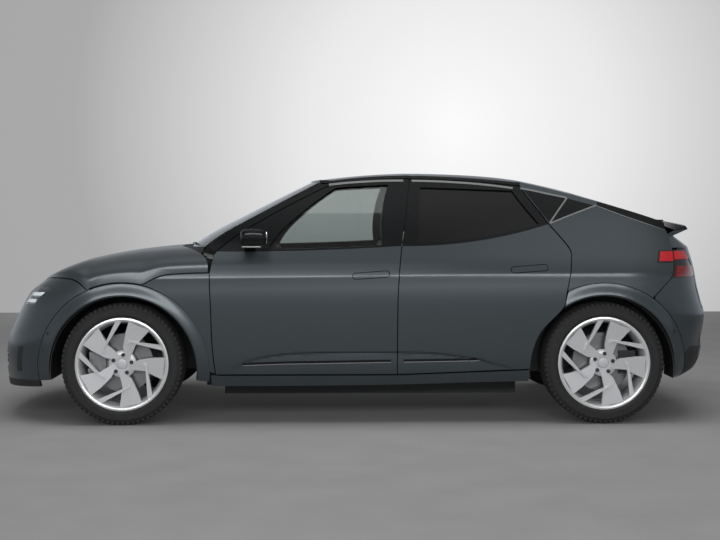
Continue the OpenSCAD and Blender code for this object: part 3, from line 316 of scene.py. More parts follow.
clearGlass = speckled("clearGlass", (0.62, 0.65, 0.61), 0.01, 4, (0.0, 0.012), Transmission_Weight=1.0, IOR=1.45)
darkGlass = speckled("darkGlass", (0.012, 0.012, 0.012), 0.04, 4, (0.01, 0.03), Transmission_Weight=0.6, IOR=1.5)
lensClear = speckled("lensClear", (0.86, 0.88, 0.88), 0.01, 6, (0.01, 0.02), Transmission_Weight=1.0, IOR=1.45)
lampRed = speckled("lampRed", look["red"], 0.1, 30, (0.06, 0.1), Coat_Weight=0.8, Emission_Color=(0.4, 0.004, 0.01),
                   Emission_Strength=0.25)
lampRedDeep = speckled("lampRedDeep", (0.2, 0.003, 0.006), 0.15, 30, (0.08, 0.14), Coat_Weight=0.8)
ledWhite = speckled("ledWhite", (0.85, 0.88, 0.9), 0.02, 20, (0.1, 0.15), Emission_Color=(0.9, 0.95, 1.0),
                    Emission_Strength=0.6)


def grained(name, base):
    f = Finish(name, Specular_IOR_Level=0.4)
    cells = f.make("ShaderNodeTexVoronoi", {"feature": "DISTANCE_TO_EDGE"}, {"Vector": f.coords, "Scale": 420},
                   "Distance")
    f.feed("Base Color", f.ramp(f.noise(9, 3), (0.3, tuple(c * 0.88 for c in base)), (0.72, base)))
    f.feed("Roughness", f.noise(60, 2) * 0.12 + 0.42)
    f.bump(cells + f.noise(30, 2) * 0.5, 0.5, 0.0008)
    return f.mat


seatLeather = grained("seatLeather", look["seat"])
wheelLeather = grained("wheelLeather", (0.02, 0.02, 0.021))


def turnedIron(name):  # brake discs: fine rings from the lathe, on the radius stored in the mesh
    f = Finish(name, Metallic=1.0)
    radius = f.make("ShaderNodeAttribute", {"attribute_name": "ringRadius"}, out="Fac")
    rings = (radius * 2600).join("SINE", 0) * 0.5 + 0.5
    f.feed("Base Color", f.ramp(rings, (0, tuple(c * 0.8 for c in look["iron"])), (1, look["iron"])))
    f.feed("Roughness", rings * 0.12 + 0.26)
    return f.mat


discIron = turnedIron("discIron")
print("finishes made:", len(bpy.data.materials))


def addPiece(name, mesh, body, mats, replaces=()):
    obj = bpy.data.objects.new(name, mesh)
    scene.collection.objects.link(obj)
    tags = [p.material_index for p in mesh.polygons]
    mesh.materials.clear()
    for m in mats if isinstance(mats, (list, tuple)) else [mats]:
        mesh.materials.append(m)
    mesh.polygons.foreach_set("material_index", tags)
    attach(obj, body)
    if replaces:
        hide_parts(*replaces)
    return obj


def smoothed(mesh, angle=32):
    mesh.validate()
    mesh.polygons.foreach_set("use_smooth", [True] * len(mesh.polygons))
    mesh.set_sharp_from_angle(angle=math.radians(angle))
    mesh.update()
    return mesh


def meshFrom(name, verts, faces, mats=None, angle=32):
    verts = np.asarray(verts, float) / 1000
    used = np.unique(np.concatenate([np.asarray(f) for f in faces]))
    place = {int(k): i for i, k in enumerate(used)}
    mesh = bpy.data.meshes.new(name)
    mesh.from_pydata([tuple(verts[k]) for k in used], [], [[place[k] for k in f] for f in faces])
    if mats is not None:
        mesh.polygons.foreach_set("material_index", mats)
    return smoothed(mesh, angle)


def shellMesh(name, outer, inner, openBlocks=(), matOf=None, backMat=None, angle=32):
    # a closed shell between two grids; blocks of cells can be left open
    outer, inner = np.asarray(outer, float), np.asarray(inner, float)
    rows, cols = outer.shape[:2]
    back = rows * cols
    shut = np.ones((rows - 1, cols - 1), bool)
    for r0, r1, c0, c1 in openBlocks:
        shut[r0:r1, c0:c1] = False
    i, j = np.argwhere(shut)[shut.sum() // 2]
    out = np.dot(np.cross(outer[i + 1, j] - outer[i, j], outer[i, j + 1] - outer[i, j]), outer[i, j] - inner[i, j]) > 0
    faces, mats = [], []

    def solid(i, j):
        return 0 <= i < rows - 1 and 0 <= j < cols - 1 and shut[i, j]

    for i, j in np.argwhere(shut):
        a, b, c, d = i * cols + j, i * cols + j + 1, (i + 1) * cols + j + 1, (i + 1) * cols + j
        new = [[a, b, c, d], [d + back, c + back, b + back, a + back]]
        for p, q, free in ((a, b, not solid(i - 1, j)), (b, c, not solid(i, j + 1)), (c, d, not solid(i + 1, j)),
                           (d, a, not solid(i, j - 1))):
            if free:
                new.append([q, p, p + back, q + back])
        faces += new if not out else [f[::-1] for f in new]
        m = matOf(i, j) if matOf else 0
        mats += [m, m if backMat is None else backMat] + [m] * (len(new) - 2)
    verts = np.concatenate([outer.reshape(-1, 3), inner.reshape(-1, 3)])
    return meshFrom(name, verts, [[int(k) for k in f] for f in faces], mats, angle)


# Doors
beltRow, topRow = 8, 12
door = {"flangeW": 22, "flangeT": 8, "stepW": 4, "headFlange": 27, "headDrop": 40, "sillLine": 12, "thick": 90,
        "frameT": 40, "glassIn": 12, "glassT": 5, "lap": 12, "sagF": 9, "sagR": 36, "bulge": 8,
        "winF": (0.273, 0.13, 0.9, 0.745), "winR": (0.085, 0.1, 0.95, 0.9), "leanF": (2.2, 1.1), "leanR": (1.1, 1.4)}
doorFront = [(-852, 300), (-866, 420), (-873, 540), (-877, 660), (-882, 770), (-886, 860), (-884, 930), (-872, 985),
             (-850, 1039), (-715, 1145), (-530, 1255), (-330, 1363), (-150, 1452)]
doorMid = [(236, 300), (236, 420), (236, 540), (237, 660), (239, 770), (245, 870), (251, 945), (258, 1010), (267, 1072),
           (282, 1170), (297, 1275), (313, 1385), (328, 1484)]
doorMidRear = [(x + car["gap"], z) for x, z in doorMid]
pillarFront = [(-912, 300), (-926, 420), (-933, 540), (-937, 660), (-942, 770), (-946, 860), (-944, 930), (-936, 1000),
               (-920, 1062), (-800, 1152), (-612, 1255), (-412, 1363), (-236, 1456)]


def archX(axle, way, z, r):
    return axle + way * math.sqrt(max(r * r - (z - car["archZ"]) ** 2, 0))


def grooveZ(x, axle, r):
    return car["archZ"] + math.sqrt(max(r * r - (x - axle) ** 2, 0))


doorRear = [(archX(car["axleR"], -1, z, car["archR"]), z) for z in (330, 440, 560)] + [
    (1236, 700), (1258, 790), (1276, 880), (1292, 970), (1292, 1054), (1184, 1203), (1150, 1256), (1106, 1318),
    (1064, 1380), (1026, 1441)]


def rowLift(u, w, sag):
    weight = (max(w, 0) / beltRow) ** 2 if w <= beltRow else clamp((topRow - w) / (topRow - beltRow), 0, 1)
    bulge = clamp((w - beltRow) / (topRow - beltRow), 0, 1) ** 2
    return 4 * u * (1 - u) * (door["bulge"] * bulge - sag * weight)


def rowXZ(a, b, u, w, sag):
    return lerp(at(a, w), at(b, w), u) + np.array([0, rowLift(u, w, sag)])


def span(a, i):
    return math.dist(a[i], a[i + 1])


def doorGrid(a, b, win, sag, lean):
    n, last = topRow, span(b, topRow - 1)
    ws = [0, door["flangeW"] / span(b, 0), (door["flangeW"] + door["stepW"]) / span(b, 0), *range(1, beltRow + 1),
          beltRow + door["sillLine"] / span(b, beltRow), 9, 10, 11, n - door["headDrop"] / last,
          n - (door["headFlange"] + door["stepW"]) / last, n - door["headFlange"] / last, n]
    rows, rowMarks = refine(ws, 0.085)
    counts = [2, 1, 18, 13, 13, 13, 13, 8, 1, 2]
    colMarks = [0, *np.cumsum(counts).tolist()]
    grid = []
    for w in rows:
        length = math.dist(at(a, w), at(b, w))
        t = clamp((w - beltRow) / (topRow - beltRow), 0, 1)
        f, r = lerp(win[0], win[1], t), lerp(win[2], win[3], t)
        wide = [door["flangeW"] * lerp(1, k, clamp(4 * t, 0, 1)) / length for k in lean]
        more = door["stepW"] / length
        us = [0, wide[0], wide[0] + more, *(lerp(f, r, k / 4) for k in range(5)), 1 - wide[1] - more, 1 - wide[1], 1]
        line = [lerp(us[k], us[k + 1], m / c) for k, c in enumerate(counts) for m in range(c)] + [1]
        grid.append([sidePt(rowXZ(a, b, u, w, sag), 0, w < beltRow) for u in line])
    return np.array(grid), rowMarks, colMarks


def edgeShare(k, marks):  # 0 on the thin flange, 1 on the full thickness
    lo, hi = marks[1], marks[-2]
    return clamp(min((k - lo) / (marks[2] - lo), (hi - k) / (hi - marks[-3])), 0, 1)


def makeDoor(tag, a, b, win, sag, lean):
    grid, rm, cm = doorGrid(a, b, win, sag, lean)
    deep = np.array([[door["flangeT"] + min(edgeShare(i, rm), edgeShare(j, cm))
                      * ((door["frameT"] if i >= rm[11] else door["thick"]) - door["flangeT"])
                      for j in range(grid.shape[1])] for i in range(grid.shape[0])])
    inner = grid + deep[:, :, None] * np.array([0, 1, 0])
    hole = (rm[11], rm[15], cm[3], cm[7])
    pane = grid[hole[0]:hole[1] + 1, hole[2]:hole[3] + 1].copy()
    pane[:, :, 1] += door["glassIn"]
    for put, lr in bothSides:
        mesh = shellMesh("door_" + tag + lr + "_skin", put(grid), put(inner), [hole],
                         lambda i, j: 1 if i >= rm[10] else 0, 2)
        addPiece(mesh.name, mesh, "door_" + tag + lr, [bodyPaint, glossBlack, cabinDark], ["door_" + tag + lr])
        sheet = shellMesh("door_" + tag + lr + "_glass", put(pane), put(pane + np.array([0, door["glassT"], 0])))
        addPiece(sheet.name, sheet, "door_" + tag + lr, clearGlass if tag == "f" else darkGlass,
                 ["glass_" + tag + lr])


makeDoor("f", doorFront, doorMid, door["winF"], door["sagF"], door["leanF"])
makeDoor("r", doorMidRear, doorRear, door["winR"], door["sagR"], door["leanR"])
print("doors made")

# Body side frame with the pillars and the roof rail
side = {"sillDrop": 70, "railH": 24, "postIn": 58, "sealIn": 16, "sillIn": 24, "backIn": 110, "railIn": 62, "edgeIn": 7,
        "sillY": 750, "headLap": 0.08, "headBack": 11, "archClear": 8, "headUs": (0.04, 0.96), "beltPost": 36,
        "beltEdge": 10, "postSeal": 2}
rearLine = [p if i < 4 else q for i, (p, q) in enumerate(zip(shift(doorRear, -side["archClear"]),
                                                             shift(doorRear, car["gap"] - car["seam"])))]
frontSides = [shift(doorFront, d) for d in (-car["gap"], car["seam"] - car["gap"], door["lap"])]
frameUs = [k / 16 for k in range(1, 16)]


def frameRow(w, dz):
    head = dz > 0
    f0 = at(doorFront, w)
    pts = [(at(pillarFront, w) + np.array([side["headBack"] if head else 0, 0]), 0)]
    if head:
        pts += [(f0 - np.array([car["gap"], 0]), 1), (f0 - np.array([car["gap"] - car["seam"], 0]), 2),
                (rowXZ(doorFront, doorMid, side["headUs"][0], w, door["sagF"]), 3)]
    else:
        pts += [(at(line, w), k + 1) for k, line in enumerate(frontSides)]
    pts += [(rowXZ(doorFront, doorMid, lerp(*side["headUs"], u), w, door["sagF"]), 4) for u in frameUs]
    pts += [(at(shift(doorMid, -door["lap"]), w), 6), (at(doorMid, w) + np.array([car["gap"] / 2, 0]), 7),
            (at(shift(doorMidRear, door["lap"]), w), 8)]
    pts += [(rowXZ(doorMidRear, doorRear, lerp(*side["headUs"], u), w, door["sagR"]), 9) for u in frameUs]
    if head:
        pts += [(rowXZ(doorMidRear, doorRear, side["headUs"][1], w, door["sagR"]), 11),
                (at(rearLine, w) - np.array([side["edgeIn"] / 2, 0]), 12)]
    else:
        pts += [(at(shift(doorRear, -door["lap"]), w), 11), (at(rearLine, w), 12)]
    return [(p + np.array([0, dz]), c) for p, c in pts]


def frameOut(w, dz, c):
    if w < 0.5:
        return side["sillIn"]
    if dz >= car["gap"]:
        return 0
    if dz > 0:
        return side["sealIn"]
    if c <= 1:
        return side["postIn"] if w < beltRow else side["edgeIn"] + side["beltEdge"] if w == beltRow else 0
    if c <= 3:
        return side["postIn"] if w < beltRow else side["beltPost"] if w == beltRow else side["sealIn"]
    if 6 <= c <= 8:
        return side["postIn"] if w <= beltRow else side["sealIn"] + side["postSeal"]
    return side["sealIn"]


def frameBack(w, dz):
    if dz > 0:
        return side["edgeIn"] if dz >= side["railH"] else side["edgeIn"] + 5
    return side["backIn"] if w <= beltRow else side["railIn"]


frameWs = [(0, -side["sillDrop"]), (door["lap"] / span(doorFront, 0), 0), *((w, 0) for w in range(1, topRow)),
           (topRow - side["headLap"], 0), (topRow, car["gap"] - car["seam"]), (topRow, car["gap"]),
           (topRow, side["railH"])]
frameOuter, frameInner, frameMarks = [], [], []
for k, (w, dz) in enumerate(frameWs):
    frameMarks.append(len(frameOuter))
    parts = 6 if 1 <= k < topRow else 1
    for m in range(parts if k + 1 < len(frameWs) else 1):
        w2, dz2 = frameWs[min(k + 1, len(frameWs) - 1)]
        t = m / parts
        row = frameRow(lerp(w, w2, t), lerp(dz, dz2, t))
        frameOuter.append([sidePt(p, lerp(frameOut(w, dz, c), frameOut(w2, dz2, c), t)) for p, c in row])
        inner = []
        for p, c in row:
            deep = sidePt(p, lerp(frameBack(w, dz), frameBack(w2, dz2), t))
            if w < 0.5:
                deep[1] = lerp(-side["sillY"], deep[1], t if k else 0)
            inner.append(deep)
        frameInner.append(inner)
frameOuter, frameInner = np.array(frameOuter), np.array(frameInner)
nU = len(frameUs)
frameHoles = [(frameMarks[1], frameMarks[-4], 3, 4 + nU), (frameMarks[1], frameMarks[-4], 6 + nU, 7 + 2 * nU)]
for put, lr in bothSides:
    mesh = shellMesh("side_frame_" + lr + "_skin", put(frameOuter), put(frameInner), frameHoles)
    addPiece(mesh.name, mesh, "body", glossBlack, ["side_frame_" + lr])
railLine = frameOuter[-1]
print("side frames made")

# Rear quarter panels
quarter = {"rows": [4.1, 5, 6, 7, 7.5, 8, 9, 10, 11, 12, 12], "thick": 70, "edge": 14, "bulge": 12, "hatchU": 0.4,
           "cols": 40,
           "tail": [(1785, 770), (1830, 812), (1880, 858), (1905, 882), (1930, 940), (1945, 1000), (1950, 1046),
                    (1947, 1110), (1935, 1165), (1915, 1205), (1880, 1232)]}
quarterFront = shift(doorRear, car["gap"] + 2 * car["seam"])
quarterN = len(quarter["rows"]) - 1


def quarterXZ(i, u):
    k = i / quarterN
    row = float(np.interp(i, range(quarterN + 1), quarter["rows"]))
    a = at(quarterFront, row) + np.array([0, side["railH"] * clamp(i - quarterN + 1, 0, 1)])
    p = lerp(a, at(quarter["tail"], i), u)
    p0 = lerp(at(quarterFront, quarter["rows"][0]), np.array(quarter["tail"][0], float), u)
    low = grooveZ(p0[0], car["axleR"], car["grooveR"] + car["chordGap"]) - p0[1]
    return p + np.array([0, low * (1 - k) ** 2 + quarter["bulge"] * 4 * u * (1 - u) * k * k])


quarterUs = [k / quarter["cols"] for k in range(quarter["cols"] + 1)]
quarterIs = refine(list(range(quarterN + 1)), 0.12)[0]
quarterGrid = np.array([[sidePt(quarterXZ(i, u), 0, i < 6) for u in quarterUs] for i in quarterIs])


def quarterDeep(i, u):
    n = quarterN
    full = np.interp(u, [0, 0.6, 0.8, 1], [quarter["thick"], quarter["thick"], 2 * quarter["edge"], quarter["edge"]])
    return np.interp(i, [n - 2, n - 1, n], [full, side["edgeIn"] + 1, side["edgeIn"]])


quarterBack = quarterGrid + np.array([[[0, quarterDeep(i, u), 0] for u in quarterUs] for i in quarterIs])
for put, lr in bothSides:
    mesh = shellMesh("quarter_" + lr + "_skin", put(quarterGrid), put(quarterBack))
    addPiece(mesh.name, mesh, "body", bodyPaint, ["quarter_" + lr])
quarterTop = quarterGrid[-1]
print("quarters made")

# Fenders, sills and arch mouldings
lower = {"fenderRows": 11, "a0": -1, "aStep": 7, "aCount": 27, "archN": 120, "doorFrom": 0.1, "doorSpan": 5.65,
         "doorTop": 5.75, "sillLow": [(-890, 226), (-400, 226), (200, 232), (700, 245), (1040, 252)],
         "lip": 16, "flange": 95, "deep": 20, "rearEnds": (122.4, 114.2, -8), "mouldW": 75}
hoodFront = [(-2085, 792), (-2000, 838), (-1930, 864), (-1870, 876), (-1750, 879), (-1684, 864), (-1612, 805),
             (-1560, 740)]
hoodRear = [(-1400, 780), (-1312, 836), (-1270, 857), (-1210, 888), (-1150, 904), (-1060, 912), (-886, 918)]


def hoodEdgeZ(x):
    z = 0
    if x < -1540:
        z = max(z, curve(x, hoodFront))
    if x > -1400:
        z = max(z, curve(x, hoodRear))
    if abs(x - car["axleF"]) < car["grooveR"]:
        z = max(z, grooveZ(x, car["axleF"], car["grooveR"] + car["gap"] + car["chordGap"]))
    return z


def fenderXZ(i, u):
    n, r = lower["fenderRows"], car["grooveR"] + car["seam"]
    a = math.radians(lower["a0"] + i * lower["aStep"])
    top = math.radians(lower["a0"] + n * lower["aStep"])
    p = lerp(np.array([car["axleF"] + r * math.cos(a), car["archZ"] + r * math.sin(a)]),
             at(shift(doorFront, -car["gap"]), lower["doorFrom"] + lower["doorSpan"] * i / n), u)
    qx = lerp(car["axleF"] + r * math.cos(top), at(shift(doorFront, -car["gap"]), lower["doorTop"])[0], u)
    zTop = lerp(car["archZ"] + r * math.sin(top), at(doorFront, lower["doorTop"])[1], u)
    return p + np.array([0, (i / n) ** 4 * (hoodEdgeZ(qx) - car["gap"] - car["swingGap"] - zTop)])


def onBothSides(name, grid, back, node, mats, body="body"):
    for put, lr in bothSides:
        mesh = shellMesh(name + "_" + lr, put(grid), put(back))
        addPiece(mesh.name, mesh, body, mats, [node + "_" + lr])


inset = np.array([0, side["sillIn"] - car["seam"], 0])
fenderRows = refine(list(range(lower["fenderRows"] + 1)), 0.12)[0]
fenderGrid = np.array([[sidePt(fenderXZ(i, u / 28), 0, True) for u in range(29)] for i in fenderRows])
onBothSides("fender_skin", fenderGrid, fenderGrid + inset, "fender", bodyPaint)


def sillTop(x):
    z = doorFront[0][1] if x < doorFront[0][0] else lookup(x, [doorFront[0], doorMid[0], doorRear[0]])
    return z - car["gap"] - (0 if x < doorFront[0][0] else car["swingGap"])


sillXs = [lerp(-882, doorRear[0][0] - 2, k / 90) for k in range(91)]
sillGrid = np.array([[sidePt((x, lerp(curve(x, lower["sillLow"]), sillTop(x), k / 10))) for x in sillXs]
                     for k in range(11)])
onBothSides("sill_skin", sillGrid, sillGrid + inset, "sill", bodyPaint)


def mouldingPt(axle, a, k, deep=None):
    r = car["archR"] + k * lower["mouldW"]
    x, z = axle + r * math.cos(math.radians(a)), car["archZ"] + r * math.sin(math.radians(a))
    rise = lerp(lower["lip"], 2, ease(k)) * (0.62 + 0.38 * ease(k / 0.12))
    return np.array([x, -sideY(x, z) + (deep if deep is not None else -rise), z])


archKs = [0, 0.03, 0.07, 0.12, 0.2, 0.3, 0.42, 0.55, 0.68, 0.8, 0.9, 1]
archN = lower["archN"]
frontAs = [lerp(lower["a0"] - lower["aStep"], lower["a0"] + lower["aCount"] * lower["aStep"], k / archN)
           for k in range(archN + 1)]
for put, lr in bothSides:
    for tag, axle in (("front", car["axleF"]), ("rear", car["axleR"])):
        def angle(t, k):
            s0, s1, e = lower["rearEnds"]
            return frontAs[round(t * archN)] if tag == "front" else lerp(e, lerp(s0, s1, k), t)
        ts = [k / archN for k in range(archN + 1)]
        g = np.array([[mouldingPt(axle, angle(t, k), k) for t in ts] for k in archKs])
        b = np.array([[mouldingPt(axle, angle(t, k), k, lerp(lower["flange"], lower["deep"], ease(k / 0.3)))
                       for t in ts] for k in archKs])
        mesh = shellMesh("arch_" + tag + "_" + lr, put(g), put(b))
        addPiece(mesh.name, mesh, "body", bodyPaint, ["arches_" + lr])
print("lower body made")

# Roof, windscreen and cowl
roof = {"mid": [(-320, 1477), (-171, 1499), (100, 1525), (403, 1535), (914, 1511), (1233, 1454), (1552, 1365),
                (1880, 1248)],
        "bow": [(-225, 70), (-156, 52), (-131, 30), (8, 8), (165, 0)], "crownN": 2.2, "thick": 28, "edge": (18, 12)}
screen = {"bow": (150, 58), "thick": 6, "rise": (-8, 11), "edge": shift(pillarFront, -6.5)}


def crown(e, s, bow=0):
    z = curve(e[0] - bow, roof["mid"])
    return np.array([e[0] - bow * (1 - s * s), s * (-e[1] - side["edgeIn"] - car["seam"]),
                     e[2] + (z - e[2]) * (1 - abs(s) ** roof["crownN"])])


def across(n):
    return [k / n for k in range(-n, n + 1)]


hatchCut = round(quarter["hatchU"] * quarter["cols"])
roofEdge = [*railLine, *quarterTop[1:hatchCut + 1]]
roofGrid = np.array([[crown(e, s, lookup(e[0], roof["bow"])) for s in across(28)] for e in roofEdge])
roofBack = setIn(roofGrid, roof["thick"])
for j, way in ((0, 1), (-1, -1)):
    roofBack[:, j] = roofGrid[:, j] + np.array([0, way * roof["edge"][0], -roof["edge"][1]])
mesh = shellMesh("roof_skin", roofGrid, roofBack, backMat=1)
addPiece("roof_skin", mesh, "body", [glossBlack, seatLeather], ["roof"])


def screenPt(w, s):
    t = (w - beltRow) / (topRow - beltRow)
    a = at(screen["edge"], w)
    bow = lerp(*screen["bow"], t)
    e = sidePt(a, side["edgeIn"] + car["seam"])
    rise = lerp(*screen["rise"], t)
    return np.array([e[0] - bow * (1 - s * s), -s * e[1], e[2] + rise * (1 - s * s)])


screenGrid = np.array([[screenPt(beltRow + k / 9, s) for s in across(30)] for k in range(37)])
mesh = shellMesh("windscreen_sheet", screenGrid, setIn(screenGrid, screen["thick"]))
addPiece(mesh.name, mesh, "body", clearGlass, ["windscreen"])

# Hood: a clamshell that runs down over the wheel arches
hood = {"backMid": -1140, "backSide": -898, "n": 3.5, "thick": 22, "corner": -1612, "cowlW": 790, "cowlT": 14,
        "mid": [(-2085, 793), (-2044, 822), (-1996, 852), (-1885, 906), (-1823, 936), (-1700, 981), (-1577, 1009),
                (-1455, 1029), (-1270, 1050), (-1140, 1060), (-893, 1070)]}
hoodW = sideY(hood["backSide"], hoodEdgeZ(hood["backSide"]))


def hoodBackX(y):
    return hood["backMid"] + (hood["backSide"] - hood["backMid"]) * (abs(y) / hoodW) ** 2.2


def hoodZ(x, y):
    e = hoodEdgeZ(x)
    return e + (max(curve(x, hood["mid"]), e) - e) * oval(abs(y) / sideY(x, e), hood["n"])


def cowlPt(k, s):
    y = s * hood["cowlW"]
    front = np.array([hoodBackX(y) + car["gap"] + 5, y, hoodZ(hoodBackX(y), y) - 4])
    base = screenPt(beltRow, y / -sidePt(screen["edge"][beltRow], side["edgeIn"] + car["seam"])[1])
    return lerp(front, base + np.array([-car["seam"] - 1, 0, -2]), k)


cowlGrid = np.array([[cowlPt(k / 6, s) for s in across(30)] for k in range(7)])
mesh = shellMesh("cowl_panel", cowlGrid, cowlGrid - np.array([0, 0, hood["cowlT"]]))
addPiece("cowl_panel", mesh, "body", blackPlastic, ["cowl"])
bumperTopZ = hoodEdgeZ(hood["corner"]) - car["gap"]
noseLock = noseAngle(hood["corner"], bumperTopZ)


def edgeSolve(a, z=850):
    for k in range(6):
        z = hoodEdgeZ(nosePt(a, z)[0])
    return z


def hoodPt(v, r):
    f = nosePt(v * noseLock, edgeSolve(v * noseLock))
    if r == 0:
        return f
    y1 = v * hoodW
    x = lerp(f[0], hoodBackX(y1), r)
    e = hoodEdgeZ(x)
    if abs(v) == 1:
        return np.array([x, math.copysign(sideY(x, e), v), e])
    y = lerp(f[1], y1, r)
    return np.array([x, y, hoodZ(x, y)])


hoodVs = [math.copysign(1 - (1 - abs(v)) ** 2.2, v) for v in across(46)]
hoodRs = refine([0, 0.03, 0.08, 0.16, 0.27, 0.4, 0.55, 0.7, 0.85, 1], 0.018)[0]
hoodGrid = np.array([[hoodPt(v, r) for v in hoodVs] for r in hoodRs])


def setInSide(g, d):  # as setIn, but the outer columns go straight inwards
    out = setIn(g, d)
    for j in (0, -1):
        out[:, j] = g[:, j] - d * np.sign(g[:, j, 1:2]) * np.array([0, 1, 0])
    return out


mesh = shellMesh("hood_skin", hoodGrid, setInSide(hoodGrid, hood["thick"]), backMat=1)
addPiece("hood_skin", mesh, "hood", [bodyPaint, blackPlastic], ["hood"])
print("hood, roof and screen made")

# Front bumper with its grille and lamps
nose = {"rows": [0, 0.08, 0.16, 0.3, 0.42, 0.54, 0.66, 0.76, 0.84, 0.92, 1], "half": 11, "low": (190, 25), "thick": 24,
        "lampRows": (7, 9), "lampCols": (4, 7), "grilleRows": (1, 3), "grilleCols": (6, 16), "fine": 6, "dark": 0.06,
        "vent": {"x": (-2095, -2050), "z": (300, 470)}, "slats": 5,
        "bars": (((0.6, 0.76), (0.08, 0.92)), ((0.18, 0.32), (0.3, 0.95)))}
noseDepth = {"grille": (14, 20), "slat": (4, 15), "bowl": (24, 30), "lens": (0.8, 3.5), "bar": (9, 20),
             "vent": (-0.6, 3)}


def bumperPt(s, w, d=0):
    top = edgeSolve(s * noseLock) - car["gap"]
    z = lerp(nose["low"][0] + nose["low"][1] * s * s, top, w)
    lo = min(z, bumperTopZ)
    shut = archX(car["axleF"], -1, lo, car["grooveR"] + car["chordGap"])
    return nosePt(s * noseAngle(min(shut, hood["corner"]), lo), z, d)


noseS = [math.copysign(abs(k / nose["half"]) ** 0.9, k) for k in range(-nose["half"], nose["half"] + 1)]


def finer(values, n):  # each step of a list of parameters cut in n
    return [float(np.interp(k / n, range(len(values)), values)) for k in range((len(values) - 1) * n + 1)]


noseCols, noseRows = finer(noseS, nose["fine"]), finer(nose["rows"], nose["fine"])
noseGrid = np.array([[bumperPt(s, w) for s in noseCols] for w in noseRows])


def fineBlock(rows, cols, f):
    return (rows[0] * f, rows[1] * f, cols[0] * f, cols[1] * f)


farCols = tuple(2 * nose["half"] - c for c in reversed(nose["lampCols"]))
lampBlocks = [fineBlock(nose["lampRows"], c, nose["fine"]) for c in (nose["lampCols"], farCols)]
grilleBlock = fineBlock(nose["grilleRows"], nose["grilleCols"], nose["fine"])
mesh = shellMesh("front_bumper_skin", noseGrid, setInSide(noseGrid, nose["thick"]), [*lampBlocks, grilleBlock],
                 matOf=lambda i, j: 1 if noseRows[i] < nose["dark"] else 0, backMat=1)
addPiece(mesh.name, mesh, "body", [bodyPaint, blackPlastic], ["front_bumper"])


def sheet(name, g, front, back, mats, body="body", replaces=(), slotName=None):
    mesh = shellMesh(name, setIn(g, front), setIn(g, back))
    addPiece(name, mesh, body, mats, replaces)


def block(grid, b):
    return grid[b[0]:b[1] + 1, b[2]:b[3] + 1]


slats = block(noseGrid, grilleBlock)
sheet("lower_grille_plate", slats, *noseDepth["grille"], blackPlastic, replaces=["lower_grille"],
      slotName="black_plastic")
for k in range(nose["slats"]):
    row = 1 + round(k * (slats.shape[0] - 4) / (nose["slats"] - 1))
    sheet("grille_slat_%d" % k, slats[row:row + 2, 1:-1], *noseDepth["slat"], blackPlastic)
for b, tag in zip(lampBlocks, ("r", "l")):
    g = block(noseGrid, b)
    sheet("headlamp_bowl_" + tag, g, *noseDepth["bowl"], lampDark, replaces=["headlamps"], slotName="lamp_lens")
    sheet("headlamp_lens_" + tag, g, *noseDepth["lens"], lensClear)
    for row, cols in nose["bars"]:
        n, m = g.shape[0] - 1, g.shape[1] - 1
        r0, r1 = round(row[0] * n), max(round(row[1] * n), round(row[0] * n) + 1)
        c0, c1 = round(cols[0] * m), round(cols[1] * m)
        sheet("headlamp_bar_%s_%d" % (tag, r0), g[r0:r1 + 1, c0:c1 + 1], *noseDepth["bar"], [ledWhite])
rows = [i for i in range(noseGrid.shape[0]) if nose["vent"]["z"][0] < noseGrid[i, 20, 2] < nose["vent"]["z"][1]]
cols = [j for j, p in enumerate(noseGrid[rows[0]])
        if p[1] < 0 and nose["vent"]["x"][0] < p[0] < nose["vent"]["x"][1]]
vent = noseGrid[rows[0]:rows[-1] + 1, cols[0]:cols[-1] + 1]
for put, lr in bothSides:
    sheet("bumper_vent_" + lr, put(vent), *noseDepth["vent"], blackPlastic)
print("nose made")

# Rear bumper, tail lamps and tailgate
tail = {"rows": [0, 0.1, 0.22, 0.35, 0.5, 0.64, 0.76, 0.88, 1], "thick": 24, "side": 1767, "step": (0.446, 0.452),
        "low": (252, 14), "lampIn": 640, "hatchLow": 690, "fine": 5, "dark": 0.3, "archTop": 762, "lockZ": 768,
        "shut": [(1700, 690), (1785, 767), (1905, 879), (2260, 879)],
        "half": [0.15, 0.3, 0.446, 0.452, 0.52, 0.6, 0.7, 0.8, 0.9, 1]}
tailLock = tailAngle(tail["side"], tail["lockZ"])


def tailSolve(a, z=850):
    for k in range(6):
        z = lookup(tailPt(a, z)[0], tail["shut"])
    return z


def tailTurn(s, z, full):
    k, y0 = abs(s), tail["lampIn"]
    j = (k - tail["step"][1]) / (1 - tail["step"][1])
    flat = tailAngleY(lookup(k, [(0, 0), (tail["step"][0], y0 + 4), (tail["step"][1], y0 + 10)]), z)
    return math.copysign(lerp(tailAngleY(y0 + 10, z), full, j) if j > 0 else flat, s)


def rearPt(s, w):
    top = tailSolve(tailTurn(s, 850, tailLock)) - 3 if abs(s) > tail["step"][0] else tail["hatchLow"] - car["gap"]
    z = lerp(tail["low"][0] + tail["low"][1] * s * s, top, w)
    shut = archX(car["axleR"], 1, min(z, tail["archTop"]), car["grooveR"] + car["chordGap"])
    return tailPt(tailTurn(s, z, tailAngle(max(shut, tail["side"]), min(z, tail["lockZ"]))), z)


